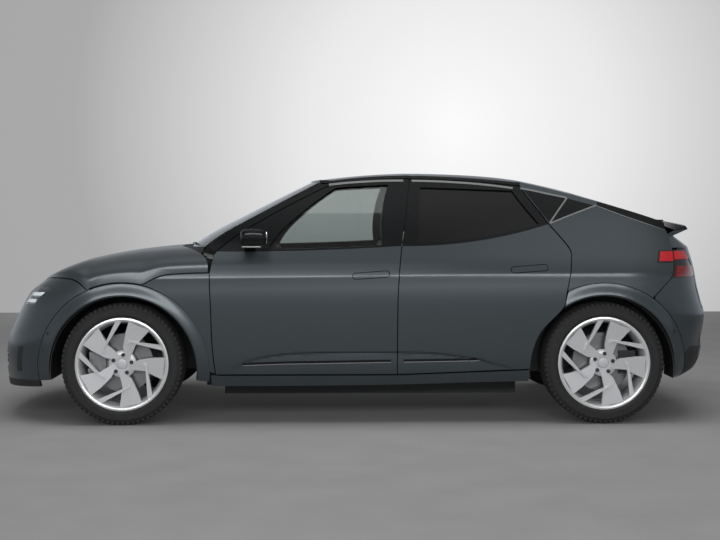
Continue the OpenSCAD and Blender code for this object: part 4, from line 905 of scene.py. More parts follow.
halfCols = [0]
for a, b in zip([0, *tail["half"]], tail["half"]):
    n = 1 if b - a < 0.02 else tail["fine"]
    halfCols += [lerp(a, b, k / n) for k in range(1, n + 1)]
tailCols = [-s for s in reversed(halfCols[1:])] + halfCols
tailRows = refine(tail["rows"], 0.02)[0]
tailGrid = np.array([[rearPt(s, w) for s in tailCols] for w in tailRows])
tailBack = setInSide(tailGrid, tail["thick"])
for j, s in enumerate(tailCols):
    if abs(s) <= tail["step"][1]:
        tailBack[:, j] = tailGrid[:, j] - np.array([tail["thick"], 0, 0])
mesh = shellMesh("rear_bumper_skin", tailGrid, tailBack,
                 matOf=lambda i, j: 1 if tailRows[i] < tail["dark"] else 0, backMat=1)
addPiece(mesh.name, mesh, "body", [bodyPaint, blackPlastic], ["rear_bumper"])

lamp = {"z": (876.6, 1044), "deep": (36, 8), "upper": (0.66, 0.96), "lower": (0.04, 0.42)}
tailZX = [(z, x) for x, z in quarter["tail"]]


def lampPt(t, z, d=0):
    p = tailPt(lerp(tailAngleY(tail["lampIn"], z), tailAngle(lookup(z, tailZX) + car["gap"], z), t), z)
    return p - d * np.array([math.cos(math.pi / 2 * t), math.sin(math.pi / 2 * t), 0])


def lampSheet(ts, ks, front, back):
    zs = [lerp(*lamp["z"], k) for k in ks]
    grids = [[[lampPt(t, z, lerp(*d, t)) for t in ts] for z in zs] for d in (front, back)]
    return np.array(grids[0]), np.array(grids[1])


def steps(a, b, n):
    return [lerp(a, b, k / n) for k in range(n + 1)]


for put, tag in ((np.asarray, "r"), (mirrored, "l")):
    for name, ts, ks, front, back, mat in (
            ("tail_lamp_case_", (0, 1), (0, 1), (5, 3), lamp["deep"], lampDark),
            ("tail_lamp_upper_", (0.02, 0.985), lamp["upper"], (0.2, 0.2), (4.8, 2.8), lampRed),
            ("tail_lamp_lower_", (0.02, 0.9), lamp["lower"], (0.2, 0.2), (4.8, 2.8), lampRedDeep)):
        f, b = lampSheet(steps(*ts, 40), steps(*ks, 8), front, back)
        mesh = shellMesh(name + tag, put(f), put(b))
        addPiece(mesh.name, mesh, "body", mat, ["tail_lamps"])


def onSkin(rows, front, back, shaped=False):  # rows of side points as two grids at two depths
    return tuple(np.array([[sidePt(p, d, shaped) for p in row] for row in rows]) for d in (front, back))


def lampSide(z0, z1, slant, n=24):  # the part of the lamp that runs forward onto the quarter panel
    rows = []
    for k in range(9):
        z = lerp(z0, z1, k / 8)
        x0, x1 = slant[0] + (slant[1] - slant[0]) * k / 8, lookup(z, tailZX) - 1
        rows.append([(lerp(x0, x1, j / n), z) for j in range(n + 1)])
    return onSkin(rows, -0.9, 3)


gate = {"rowsZ": [1057, 1051, 985, 925, 860, 775, 690], "yEnd": 634, "n": 32, "thick": 30, "edge": (12, -18),
        "panelT": 45, "pane": (2, 7), "spoilerBack": ((-75, -22), (-90, -10), (-40, 6)),
        "spoiler": [(2062, 645, 1190, 2128, 1205), (2074, 645, 1172, 2140, 1187), (1972, 638, 1126, 2088, 1128)],
        "wide": sideY(1960, 1052) - quarter["edge"] - car["gap"] - 4 * car["swingGap"]}
gateS = across(gate["n"])
gateRows, gateBack = [], []
for k in range(hatchCut, quarter["cols"] + 1, 2):
    e = quarterTop[k] + np.array([car["gap"] if k == hatchCut else 0, car["gap"], 0])
    row = np.array([crown(e, s) for s in gateS])
    back = row - np.array([0, 0, gate["thick"]])
    for j, way in ((0, 1), (-1, -1)):
        back[j] = row[j] + np.array([0, way * gate["edge"][0], gate["edge"][1]])
    gateRows.append(row)
    gateBack.append(back)
glassEnd = len(gateRows) - 1
for r, (dx, dz) in zip(gate["spoiler"], gate["spoilerBack"]):
    row = []
    for s in gateS:
        b = 1 - abs(s) ** roof["crownN"]
        row.append([lerp(r[0], r[3], b), s * r[1], lerp(r[2], r[4], b)])
    gateRows.append(np.array(row))
    gateBack.append(gateRows[-1] + np.array([dx, 0, dz]))
zs = gate["rowsZ"][:1] + refine([-z for z in gate["rowsZ"][1:]], 14)[0]
for z in [abs(z) for z in zs]:
    yEnd = gate["wide"] if z == gate["rowsZ"][0] else gate["yEnd"]
    row = np.array([tailPt(math.copysign(tailAngleY(abs(s) * yEnd, z), s), z) for s in gateS])
    gateRows.append(row)
    gateBack.append(row - np.array([gate["panelT"], 0, 0]))
gateRows, gateBack = np.array(gateRows), np.array(gateBack)
cols = 2 * gate["n"]
open0, open1 = round(cols / 8), cols - round(cols / 8)
glassBlock = (round(glassEnd / 6), glassEnd, open0, open1)
mesh = shellMesh("tailgate_skin", gateRows, gateBack, [glassBlock],
                 matOf=lambda i, j: 1 if i <= glassEnd + 1 else 0, backMat=2, angle=28)
addPiece("tailgate_skin", mesh, "tailgate", [bodyPaint, glossBlack, blackPlastic], ["tailgate"])
pane = block(gateRows, glassBlock)
mesh = shellMesh("tailgate_pane", *(pane - np.array([0, 0, d]) for d in gate["pane"]))
addPiece("tailgate_pane", mesh, "tailgate", darkGlass, ["tailgate_glass"])


def patch(corners, n, m, d0, d1):  # a four-cornered sheet laid on the left body side, d0 to d1 behind its skin
    a, b, c, d = (np.array(p, float) for p in corners)
    flat = [[lerp(lerp(a, b, u / m), lerp(d, c, u / m), v / n) for u in range(m + 1)] for v in range(n + 1)]
    return onSkin(flat, d0, d1, True)


def ribbon(line, width, d0, d1, n=60):  # a strip along a line on the left body side
    pts = [at(line, k * (len(line) - 1) / n) for k in range(n + 1)]
    edges = [shift(pts, d) for d in (-width / 2, width / 2)]
    return onSkin(edges, d0, d1, True)


def pairPieces(name, grids, bodies, mats, replaces=()):
    for (put, lr), body in zip(bothSides, bodies):
        mesh = shellMesh(name + "_" + lr, put(grids[0]), put(grids[1]))
        addPiece(mesh.name, mesh, body, mats, replaces)


onBody, onFront, onRear = ("body", "body"), ("door_fl", "door_fr"), ("door_rl", "door_rr")
pairPieces("quarter_pane", patch([(1200, 1212), (1202, 1214), (1500, 1318), (1330, 1364)], 30, 30, -0.6, 6), onBody,
           glossBlack, ["quarter_glass"])
pairPieces("quarter_corner", patch([(1048, 1424), (1192, 1214), (1196, 1216), (1318, 1366)], 30, 30, -0.5, 6), onBody,
           glossBlack)
bandLow = [at([(1513, 1318), (1607, 1281), (1707, 1243), (1930, 1166)], 3 * k / 40) for k in range(41)]
bandTop = [(x, lookup(x, [(p[0], p[2]) for p in quarterTop]) - 1) for x, z in bandLow]
band = [[lerp(np.array(a, float), np.array(b, float), k / 8) for a, b in zip(bandLow, bandTop)] for k in range(9)]
pairPieces("roof_band", onSkin(band, -0.5, 4), onBody, glossBlack)
pairPieces("tail_lamp_side_case", lampSide(968, 1044, (1822, 1846)), onBody, lampDark)
upper = lampSide(979, 1037, (1842, 1862))
pairPieces("tail_lamp_side", tuple(g - np.array([0, 0.5, 0]) for g in upper), onBody, lampRed)
print("tail made")

# Wheels: a turbine rim with five blades, thin machined bars between them and a treaded tyre
wheel = {"rim": 281, "tyreR": 365, "tyreW": 255, "wallHalf": 127.5, "blades": 5, "cap": 31, "nutPcd": 114.3,
         "nutR": 12.5, "grooves": (-62, -21, 21, 62), "grooveW": 5, "grooveD": 6, "grooveWall": 1.5, "crown": 0.4,
         "blocks": 72, "treadRows": (-96, -41, 0, 41, 96), "inner": 60}


def revolve(name, profile, n, matOf=None, angle=32):  # profile of (radius, out) round Y; out is towards -Y
    turns = [2 * math.pi * k / n for k in range(n)]
    verts = [(r * math.cos(t), -o, r * math.sin(t)) for t in turns for r, o in profile]
    m, faces, tags = len(profile), [], []
    for k in range(n):
        for i in range(m - 1):
            a, b = k * m + i, ((k + 1) % n) * m + i
            faces.append((a, a + 1, b + 1, b))
            tags.append(matOf(i) if matOf else 0)
    return meshFrom(name, verts, faces, tags, angle)


tw, tr = wheel["tyreW"] / 2, wheel["tyreR"]
sideWall = [(wheel["rim"] - 14, 108), (wheel["rim"] - 4, 116), (wheel["rim"] + 8, 122), (296, 126), (298, 127.4),
            (301, 127.4), (303, 126.4), (316, 127.4), (327, 126), (329, 127), (332, 126.4), (334, 124.4), (345, 119),
            (353, 112), (359, 104), (362.5, 94)]
tread = []
for g in reversed(wheel["grooves"]):
    w, d, wall = wheel["grooveW"], wheel["grooveD"], wheel["grooveWall"]
    top = tr - wheel["crown"] * (abs(g) / wheel["grooves"][-1]) ** 2
    tread += [(top, g + w), (tr - d, g + w - wall), (tr - d, g - w + wall), (top, g - w)]
tyreProfile = [*sideWall, *tread, *[(r, -o) for r, o in reversed(sideWall)]]
tyreProfile = [(r, o * tw / wheel["wallHalf"]) for r, o in tyreProfile]
rimProfile = [(262, 118), (270, 121), (279, 119), (281, 114), (274, 108), (262, 100), (250, 60), (247, 0), (252, -70),
              (264, -112), (281, -116), (280, -123), (268, -124), (256, -112), (243, -70), (238, 0), (241, 60),
              (253, 104), (258, 114), (262, 118)]


def plateFaces(n):  # two outlines of n points and the rim between them
    return [tuple(range(n)), tuple(reversed(range(n, 2 * n))),
            *((i, i + n, (i + 1) % n + n, (i + 1) % n) for i in range(n))]


def bladeMesh(name, outline, outs):  # a plate from a polar outline, with its outer and inner depth per point
    n = len(outline)
    verts = []
    for o in (0, 1):
        for (r, a), depth in zip(outline, outs):
            t = math.radians(a)
            verts.append((r * math.cos(t), -depth[o], r * math.sin(t)))
    return meshFrom(name, verts, plateFaces(n), None, 30)


rimR = wheel["rim"]
bladeOutline = [(260, 81), (0.7 * rimR, 83.5), (0.37 * rimR, 87), (49, 70), (49, 30), (0.5 * rimR, 55),
                (0.6 * rimR, 53), (260, 51)]
bladeOuts = [(112, 84), (108, 82), (103, 80), (100, 74), (100, 74), (98, 74), (100, 76), (109, 82)]
barOutline = [(260, 18.5), (0.5 * rimR, 66), (0.45 * rimR, 71), (0.46 * rimR, 77), (0.52 * rimR, 74), (260, 26.5)]
barOuts = [(117, 92), (110, 88), (107, 88), (107, 88), (110, 88), (117, 92)]


def joined(name, meshes, mats, angle=30):  # several meshes in one, each with its own material number
    bm = bmesh.new()
    for mesh, index in meshes:
        start = len(bm.faces)
        bm.from_mesh(mesh)
        bm.faces.ensure_lookup_table()
        if index is not None:
            for f in bm.faces[start:]:
                f.material_index = index
    out = bpy.data.meshes.new(name)
    bm.to_mesh(out)
    bm.free()
    for m in mats:
        out.materials.append(m)
    return smoothed(out, angle)


def ringGroup(name, shape):  # Geometry Nodes: copies of one solid round a ring about Y
    g = bpy.data.node_groups.new(name, "GeometryNodeTree")
    for label, kind in (("Geometry", "Geometry"), ("Count", "Int"), ("Ring Radius", "Float"), ("Size", "Vector"),
                        ("Out", "Float"), ("Phase", "Float"), ("Material", "Material")):
        g.interface.new_socket(name=label, in_out="INPUT", socket_type="NodeSocket" + kind)
    g.interface.new_socket(name="Geometry", in_out="OUTPUT", socket_type="NodeSocketGeometry")
    node = {k: g.nodes.new(t) for k, t in (
        ("in", "NodeGroupInput"), ("out", "NodeGroupOutput"), ("ring", "GeometryNodeMeshCircle"),
        ("solid", "GeometryNodeMeshCube" if shape == "block" else "GeometryNodeMeshCylinder"),
        ("put", "GeometryNodeInstanceOnPoints"), ("index", "GeometryNodeInputIndex"), ("share", "ShaderNodeMath"),
        ("turn", "ShaderNodeMath"), ("euler", "ShaderNodeCombineXYZ"), ("place", "GeometryNodeTransform"),
        ("spot", "ShaderNodeCombineXYZ"), ("spin", "ShaderNodeCombineXYZ"), ("stand", "GeometryNodeTransform"),
        ("real", "GeometryNodeRealizeInstances"), ("paint", "GeometryNodeSetMaterial"))}

    def link(a, out, b, into):
        g.links.new(node[a].outputs[out], node[b].inputs[into])
    node["share"].operation, node["turn"].operation = "DIVIDE", "MULTIPLY"
    node["turn"].inputs[1].default_value = 2 * math.pi
    node["stand"].inputs["Rotation"].default_value = (math.pi / 2, 0, 0)
    link("in", "Count", "ring", "Vertices")
    link("in", "Ring Radius", "ring", "Radius")
    link("index", "Index", "share", 0)
    link("in", "Count", "share", 1)
    link("share", 0, "turn", 0)
    link("turn", 0, "euler", "Z")
    if shape == "block":
        link("in", "Size", "solid", "Size")
    else:
        part = g.nodes.new("ShaderNodeSeparateXYZ")
        g.links.new(node["in"].outputs["Size"], part.inputs[0])
        node["solid"].inputs["Vertices"].default_value = 6
        g.links.new(part.outputs["X"], node["solid"].inputs["Radius"])
        g.links.new(part.outputs["Z"], node["solid"].inputs["Depth"])
    link("ring", "Mesh", "put", "Points")
    link("solid", "Mesh", "put", "Instance")
    link("euler", 0, "put", "Rotation")
    link("in", "Out", "spot", "Z")
    link("in", "Phase", "spin", "Z")
    link("put", "Instances", "place", "Geometry")
    link("spot", 0, "place", "Translation")
    link("spin", 0, "place", "Rotation")
    link("place", "Geometry", "stand", "Geometry")
    link("stand", "Geometry", "real", "Geometry")
    link("real", "Geometry", "paint", "Geometry")
    link("in", "Material", "paint", "Material")
    link("paint", "Geometry", "out", "Geometry")
    return g


def ringOf(name, group, **values):
    obj = bpy.data.objects.new(name, bpy.data.meshes.new(name + "_seed"))
    scene.collection.objects.link(obj)
    mod = obj.modifiers.new("ring", "NODES")
    mod.node_group = group
    for item in group.interface.items_tree:
        if item.in_out == "INPUT" and item.name in values:
            mod[item.identifier] = values[item.name]
    obj.update_tag()
    mesh = bpy.data.meshes.new_from_object(obj.evaluated_get(bpy.context.evaluated_depsgraph_get()))
    obj.modifiers.remove(mod)
    bpy.data.objects.remove(obj)
    return mesh


blockRing, nutRing = ringGroup("TreadRing", "block"), ringGroup("NutRing", "nut")
mm = 0.001
treadParts = [(revolve("tyre_base", tyreProfile, 120), 0)]
for k, out in enumerate(wheel["treadRows"]):
    wide, long, drop = (15, 28, 2.1) if abs(out) < wheel["inner"] else (17, 22, 4.4)
    treadParts.append((ringOf("tread_row_%d" % k, blockRing, **{
        "Count": wheel["blocks"], "Ring Radius": (tr - drop) * mm, "Size": (3.4 * mm, wide * mm, long * mm),
        "Out": out * mm, "Phase": 0.03 * k, "Material": tyreRubber}), 0))
for k, out in enumerate((-112, 112)):
    treadParts.append((ringOf("shoulder_%d" % k, blockRing, **{
        "Count": wheel["blocks"], "Ring Radius": 352 * mm, "Size": (14 * mm, 15 * mm, 15 * mm), "Out": out * mm,
        "Phase": 0.02, "Material": tyreRubber}), 0))
tyreMesh = joined("tyre_whole", treadParts, [tyreRubber])
spokes = [(revolve("rim_barrel", rimProfile, 96, lambda i: 1 if i in (0, 1, 2, 17, 18) else 0), None),
          (revolve("rim_hub", [(0, 104), (24, 104), (29, 103), (wheel["cap"], 100), (33, 97), (52, 99), (70, 97),
                               (82, 90), (82, 60), (66, 56), (0, 56)], 72), 0)]
for k in range(wheel["blades"]):
    turn = 360 / wheel["blades"] * k
    spokes.append((bladeMesh("blade", [(r, a + turn) for r, a in bladeOutline], bladeOuts), 0))
    spokes.append((bladeMesh("bar", [(r, a + turn) for r, a in barOutline], barOuts), 1))
spokes.append((ringOf("nuts", nutRing, **{"Count": 5, "Ring Radius": wheel["nutPcd"] / 2 * mm, "Out": 98 * mm,
                                          "Size": (wheel["nutR"] * mm, 0, 14 * mm), "Phase": math.radians(12),
                                          "Material": underSteel}), 2))
rimMesh = joined("rim_whole", spokes, [bladeGrey, machinedFace, underSteel])


def placed(mesh, name, x, y, turned):
    out = mesh.copy()
    out.name = name
    m = Matrix.Translation((x * mm, y * mm, car["hubZ"] * mm))
    out.transform(m @ Matrix.Rotation(math.pi if turned else 0, 4, "Z"))
    return out


track = car["halfTrack"]
for tag, x, y in (("fl", car["axleF"], -track), ("fr", car["axleF"], track), ("rl", car["axleR"], -track),
                  ("rr", car["axleR"], track)):
    body = "wheel_" + tag
    addPiece("tyre_tread_" + tag, placed(tyreMesh, "tyre_tread_" + tag, x, y, y > 0), body, tyreRubber,
             ["tyre_" + tag])
    addPiece("rim_blades_" + tag, placed(rimMesh, "rim_blades_" + tag, x, y, y > 0), body,
             [bladeGrey, machinedFace, underSteel], ["rim_" + tag])
    lo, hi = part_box("disc_" + tag)
    near, far = ((lo[1], hi[1]) if y < 0 else (hi[1], lo[1]))
    o0, o1 = (abs(v) * 1000 - track for v in (near, far))
    mesh = revolve("disc_rings_" + tag, [(64, o1), (64, o0), (176, o0), (178, o0 - 1.5), (178, o0 - 9), (168, o0 - 9),
                                         (168, o1 + 9), (178, o1 + 9), (178, o1), (64, o1)], 96)
    ring = mesh.attributes.new("ringRadius", "FLOAT", "POINT")
    for v, a in zip(mesh.vertices, ring.data):
        a.value = math.hypot(v.co.x, v.co.z)
    addPiece(mesh.name, placed(mesh, mesh.name + "_at", x, y, y > 0), body, discIron, ["disc_" + tag])

# Inner walls of the wheel houses, above the axles
house = {"r": 436, "t": 5, "front": 472, "rear": 645, "low": -40, "notch": 215, "top": {"front": 230, "rear": 135}}


def houseWall(name, axle, y, top):
    a0 = math.asin(house["low"] / house["r"])
    edge = [(house["r"] * math.cos(a), house["r"] * math.sin(a)) for a in np.linspace(a0, math.pi - a0, 56)]
    notch, low = house["notch"], house["low"]
    edge += [(-notch, low), (-notch, top), (notch, top), (notch, low)]
    n = len(edge)
    verts = [(axle + x, y + d, car["archZ"] + z) for d in (0, house["t"]) for x, z in edge]
    return meshFrom(name, verts, plateFaces(n), None, 30)


for tag, axle in (("front", car["axleF"]), ("rear", car["axleR"])):
    for lr, way in (("l", -1), ("r", 1)):
        name = "house_%s_%s" % (tag, lr)
        wall = houseWall(name, axle, way * house[tag] - house["t"] / 2, house["top"][tag])
        addPiece(name, wall, "body", blackPlastic)
print("wheels made")

# Seats: crowned pads swept along a curved spine, with side bolsters and sewn flutes
seat = {"x": -60, "z": 285.3, "pitch": 380, "railY": 170, "rearX": 1000, "n": 40, "m": 44, "fill": 0.8}


def tubeFaces(n, m):  # quads of a tube of n steps with m points round it
    return [(k * m + j, k * m + (j + 1) % m, (k + 1) * m + (j + 1) % m, (k + 1) * m + j)
            for k in range(n) for j in range(m)]


def pad(name, spine, wide, thick, bolster, flutes, offset):
    rows, n, m = [], seat["n"], seat["m"]
    for k in range(n + 1):
        w = k * (len(spine) - 1) / n
        c, q = at(spine, w), at(spine, min(w + 0.05, len(spine) - 1)) - at(spine, max(w - 0.05, 0))
        up = np.array([-q[1], q[0]]) / np.linalg.norm(q)
        end = oval(abs(2 * k / n - 1), 5)
        row = []
        for j in range(m):
            a = 2 * math.pi * j / m
            v = math.copysign(abs(math.cos(a)) ** 0.5, math.cos(a))
            h = math.copysign(abs(math.sin(a)) ** 0.5, math.sin(a))
            top = 1 + (bolster * ease((abs(v) - 0.55) / 0.3) - 0.05 * abs(math.cos(v * flutes)) ** 8) * (h > 0)
            lift = up * h * thick * (0.25 + 0.75 * end) * top
            y = v * wide * (0.9 + 0.1 * end)
            row.append((c[0] + lift[0] + offset[0], y + offset[1], c[1] + lift[1] + offset[2]))
        rows.append(row)
    verts = [p for row in rows for p in row]
    faces = tubeFaces(n, m) + [tuple(reversed(range(m))), tuple(range(n * m, n * m + m))]
    return meshFrom(name, verts, faces, None, 50)


def boxMesh(name, lo, hi, bevel=8):
    bm = bmesh.new()
    bmesh.ops.create_cube(bm, size=1)
    for v in bm.verts:
        v.co = Vector([(lo[i] + (hi[i] - lo[i]) * (v.co[i] + 0.5)) * mm for i in range(3)])
    bmesh.ops.bevel(bm, geom=bm.edges[:], offset=bevel * mm, segments=3, profile=0.5, affect="EDGES")
    mesh = bpy.data.meshes.new(name)
    bm.to_mesh(mesh)
    bm.free()
    return smoothed(mesh, 30)


cushion = [np.array(p, float) for p in ((-312, 205), (-200, 212), (-60, 208), (90, 205))]
backrest = [np.array(p, float) for p in ((172, 262), (218, 480), (278, 700), (300, 780))]
headrest = [np.array(p, float) for p in ((298, 815), (316, 860), (322, 905))]
for s, lr in ((-1, "l"), (1, "r")):
    place = (seat["x"], s * seat["pitch"], seat["z"])
    for part, spine, wide, thick, bolster in (("cushion", cushion, 245, 46, 0.5), ("back", backrest, 240, 44, 0.75),
                                               ("head", headrest, 130, 40, 0.1)):
        mesh = pad("seat_%s_%s" % (part, lr), spine, wide, thick, bolster, 9, place)
        obj = addPiece(mesh.name, mesh, "body", seatLeather, ["front_seats"])
    x0, y0, z0 = place
    base = boxMesh("seat_base_" + lr, (x0 - 250, y0 - 190, z0 + 40), (x0 + 200, y0 + 190, z0 + 160))
    addPiece("seat_base_" + lr, base, "body", blackPlastic)
    for k in (-1, 1):
        y = y0 + k * seat["railY"]
        rail = boxMesh("rail", (x0 - 300, y - 20, z0), (x0 + 240, y + 20, z0 + 42), 3)
        addPiece("seat_rail_%s_%d" % (lr, k + 1), rail, "body", underSteel)
rearCushion = [np.array(p, float) for p in ((-318, 215), (-200, 226), (-40, 214), (40, 214))]
rearBack = [np.array(p, float) for p in ((58, 250), (140, 500), (208, 718))]
for k, (y, half) in enumerate(((-400, 196), (0, 196), (400, 196))):
    for part, spine, thick in (("cushion", rearCushion, 46), ("back", rearBack, 34)):
        mesh = pad("rear_%s_%d" % (part, k), spine, half, thick, 0.15, 7, (seat["rearX"], y, seat["z"]))
        obj = addPiece(mesh.name, mesh, "body", seatLeather, ["rear_seat"])
addPiece("rear_base", boxMesh("rear_base", (670, -596, 287), (1000, 596, 465)), "body", carpetGrey)

# Steering wheel with a slim boss
helm = {"c": (-430, -380, 905), "tilt": 65, "r": 185, "rim": 15}
rimPts = []
loop, tube = 96, 16
for k in range(loop):
    a = 2 * math.pi * k / loop
    for j in range(tube):
        b = 2 * math.pi * j / tube
        r = helm["r"] - helm["rim"] + helm["rim"] * math.cos(b)
        rimPts.append((r * math.cos(a), r * math.sin(a), helm["rim"] * 0.9 * math.sin(b)))
faces = [(k * tube + j, (k + 1) % loop * tube + j, (k + 1) % loop * tube + (j + 1) % tube, k * tube + (j + 1) % tube)
         for k in range(loop) for j in range(tube)]
parts = [(meshFrom("helm_rim", rimPts, faces, None, 40), 0),
         (boxMesh("helm_boss", (-62, -52, -30), (62, 52, 12), 14), 0),
         (boxMesh("helm_bar", (-168, -16, -12), (168, 16, 2), 6), 0),
         (boxMesh("helm_foot", (-16, -168, -12), (16, 0, 2), 6), 0),
         (boxMesh("helm_column", (-28, -28, -190), (28, 28, -26), 10), 0)]
helmMesh = joined("steering_rim", parts, [wheelLeather], 40)
lean = Matrix.Rotation(math.radians(helm["tilt"]), 4, "Y")
helmMesh.transform(Matrix.Translation([c * mm for c in helm["c"]]) @ lean @ Matrix.Rotation(math.pi / 2, 4, "Z"))
addPiece("steering_rim", helmMesh, "body", wheelLeather, ["steering_wheel"])

# Door mirrors, trim strips and flush handles
mirror = {"x": (-712, -540), "y": (-1042, -905), "z": (1072, 1178), "foot": ((-690, -935, 1062), (-620, -845, 1100))}


def mirrorShell(name, n=40, m=28):
    c = [sum(mirror[k]) / 2 for k in "xyz"]
    h = [(mirror[k][1] - mirror[k][0]) / 2 for k in "xyz"]
    verts = []
    for k in range(m + 1):
        b = math.pi * (k / m - 0.5)
        for j in range(n):
            a = 2 * math.pi * j / n
            e = 0.55
            sx, sz = (math.copysign(abs(f(a)) ** e, f(a)) * abs(math.cos(b)) ** 0.45 for f in (math.cos, math.sin))
            sy = math.copysign(abs(math.sin(b)) ** 0.6, b)
            taper = 1 - 0.1 * (1 - sy) * (sx < 0)
            verts.append((c[0] + h[0] * sx * taper, c[1] + h[1] * sy, c[2] + h[2] * sz))
    faces = tubeFaces(m, n) + [tuple(reversed(range(n))), tuple(range(m * n, m * n + n))]
    return meshFrom(name, verts, faces, None, 40)


def flipped(mesh):
    out = mesh.copy()
    out.transform(Matrix.Scale(-1, 4, (0, 1, 0)))
    out.flip_normals()
    return out


backX = mirror["x"][1]
mirrorParts = [(mirrorShell("mirror_case"), 0), (boxMesh("mirror_foot", *mirror["foot"], 10), 0),
               (boxMesh("mirror_strip", (-690, -1020, 1066), (-575, -925, 1076), 4), 1),
               (boxMesh("mirror_glass", (backX - 6, -1024, 1090), (backX + 1, -924, 1162), 3), 2)]
mirrorMesh = joined("mirror_case_l", mirrorParts, [glossBlack, satinSilver, chromeDish], 40)
for lr, mesh, body in (("l", mirrorMesh, "door_fl"), ("r", flipped(mirrorMesh), "door_fr")):
    addPiece("mirror_case_" + lr, mesh, body, [glossBlack, satinSilver, chromeDish], ["mirror_" + lr])

trim = {"upper": [(-174, 1449), (-42, 1463), (145, 1474), (292, 1476)], "proud": -2.5, "sunk": 4,
        "upperRear": [(345, 1475), (520, 1471), (770, 1455), (985, 1430)],
        "upperQuarter": [(1034, 1429), (1120, 1413), (1207, 1394), (1322, 1370)],
        "hook": [(1326, 1369), (1260, 1290), (1196, 1212)], "hook2": [(1196, 1208), (1340, 1262), (1507, 1322)],
        "tailLine": [(1513, 1316), (1607, 1279), (1707, 1241), (1926, 1165)]}


def groove(line, width, mat, bodies, name, proud=-0.8):
    pairPieces(name, ribbon(line, width, proud, trim["sunk"]), bodies, mat)


# The slit strips are painted: the gloss black ones are painted shade for the inside of a slit low on each door, and the
# thin silver ones over them are a painted highlight on its lit upper lip
for name, line, width, mat, bodies in (
        ("roof_strip_front", trim["upper"], 13, satinSilver, onFront),
        ("roof_strip_rear", trim["upperRear"], 13, satinSilver, onRear),
        ("roof_strip_quarter", trim["upperQuarter"], 11, satinSilver, onBody),
        ("hook_strip_a", trim["hook"], 9, satinSilver, onBody), ("hook_strip_b", trim["hook2"], 9, satinSilver, onBody),
        ("tail_strip", trim["tailLine"], 5, satinSilver, onBody),
        ("painted_shade_slit_front", [(-688, 363), (-460, 372), (-200, 376), (200, 382)], 15, glossBlack, onFront),
        ("painted_highlight_slit_edge_front", [(-688, 354), (-460, 363), (-200, 367), (200, 373)], 4, satinSilver, onFront),
        ("painted_shade_slit_rear", [(275, 383), (500, 386), (752, 390)], 15, glossBlack, onRear),
        ("painted_highlight_slit_edge_rear", [(275, 374), (500, 377), (752, 381)], 4, satinSilver, onRear)):
    groove(line, width, mat, bodies, name, trim["proud"] if mat is satinSilver else -0.8)


def pill(cx, cz, length, height, tilt, d0, d1, n=12):
    flat = []
    for v in range(n + 1):
        row = []
        for u in range(4 * n + 1):
            s, t = 2 * u / (4 * n) - 1, 2 * v / n - 1
            reach = length / 2 - height / 2 + height / 2 * math.sqrt(max(1 - t * t, 0.02))
            x, z = s * reach, t * height / 2
            row.append((cx + x * math.cos(tilt) - z * math.sin(tilt), cz + x * math.sin(tilt) + z * math.cos(tilt)))
        flat.append(row)
    return onSkin(flat, d0, d1, True)


handle = {"recess": (230, 42), "grip": (220, 33), "tilt": math.radians(4), "recessDeep": (-0.3, 3),
          "gripDeep": (-1.6, 2)}
# The gloss black pill round each grip is painted shade, standing in for the shade in the recess round the flush handle;
# the body-coloured grip sits on it
for name, cx, cz, bodies in (("handle_front", 80, 899, onFront), ("handle_rear", 1037, 936, onRear)):
    pairPieces(name + "_painted_shade_recess", pill(cx, cz, *handle["recess"], handle["tilt"], *handle["recessDeep"]), bodies,
               glossBlack)
    pairPieces(name, pill(cx, cz, *handle["grip"], handle["tilt"], *handle["gripDeep"]), bodies, bodyPaint)
sensorSize, sensorSunk = 22, 3
for name, cx, cz, proud in (("sensor_front", -1864, 546, 5.4), ("sensor_rear", 1922, 552, 8.9)):
    pairPieces(name, pill(cx, cz, sensorSize, sensorSize, 0, -proud, sensorSunk), onBody, blackPlastic)
seal = {"x": (-1300, -905), "n": 12, "drop": 4, "wide": 30, "deep": (25, 30)}
sealLine = [(x, hoodEdgeZ(x) - seal["drop"]) for x in np.linspace(*seal["x"], seal["n"])]
pairPieces("hood_seal", ribbon(sealLine, seal["wide"], *seal["deep"]), onBody, blackPlastic)
wiper = {"rows": ((8.14, -0.72, -0.02), (8.1, 0.04, 0.66)), "blade": (-9, -3), "arm": (-16, -9.5)}
for k, (w, s0, s1) in enumerate(wiper["rows"]):
    g = np.array([[screenPt(w + 0.03 * i, lerp(s0, s1, j / 40)) for j in range(41)] for i in range(2)])
    sheet("wiper_blade_%d" % k, g, *wiper["blade"], blackPlastic)
    arm = np.array([[screenPt(lerp(beltRow, w + 0.02, j / 12), lerp(s1, (s0 + s1) / 2, j / 12) + 0.012 * i)
                     for j in range(13)] for i in range(2)])
    sheet("wiper_arm_%d" % k, arm, *wiper["arm"], blackPlastic)
print("cabin and trim made")

# Materials of the CAD pieces that stay
# The battery pack's black plastic is partly its own dark underbody finish and partly painted shade for the dark strip
# seen under the sills
keep = {"floor_pan": carpetGrey, "battery_pack": blackPlastic, "drive_units": castAlloy, "front_axle": underSteel,
        "rear_axle": underSteel, "front_tub": blackPlastic, "wheel_liners": blackPlastic, "console": cabinDark,
        "dashboard": cabinDark, "knuckle_l": castAlloy, "knuckle_r": castAlloy}
for name, mat in keep.items():
    obj = nodes[name]
    obj.data.materials.clear()
    obj.data.materials.append(mat)

# Studio: pale floor and backdrop with painted glow, soft lights and the photographed view
view = {"spot": (-0.157, -8.43, 1.26), "yaw": -1.3, "lens": 62.5, "shiftY": -55 / 720, "paintedGlow": (0.1, 1, 0.07)}
floor = {"half": 40, "farEdge": 7.8, "shades": ((0.3, 0.24), (0.7, 0.26)), "deep": 0.02, "wide": 0.003, "start": 0.3,
         "paintedGlow": ((0.26, 0), (0.36, 0.05), (0.55, 0.3), (0.95, 0.62))}


def greys(stops):
    return [(pos, (level,) * 3) for pos, level in stops]


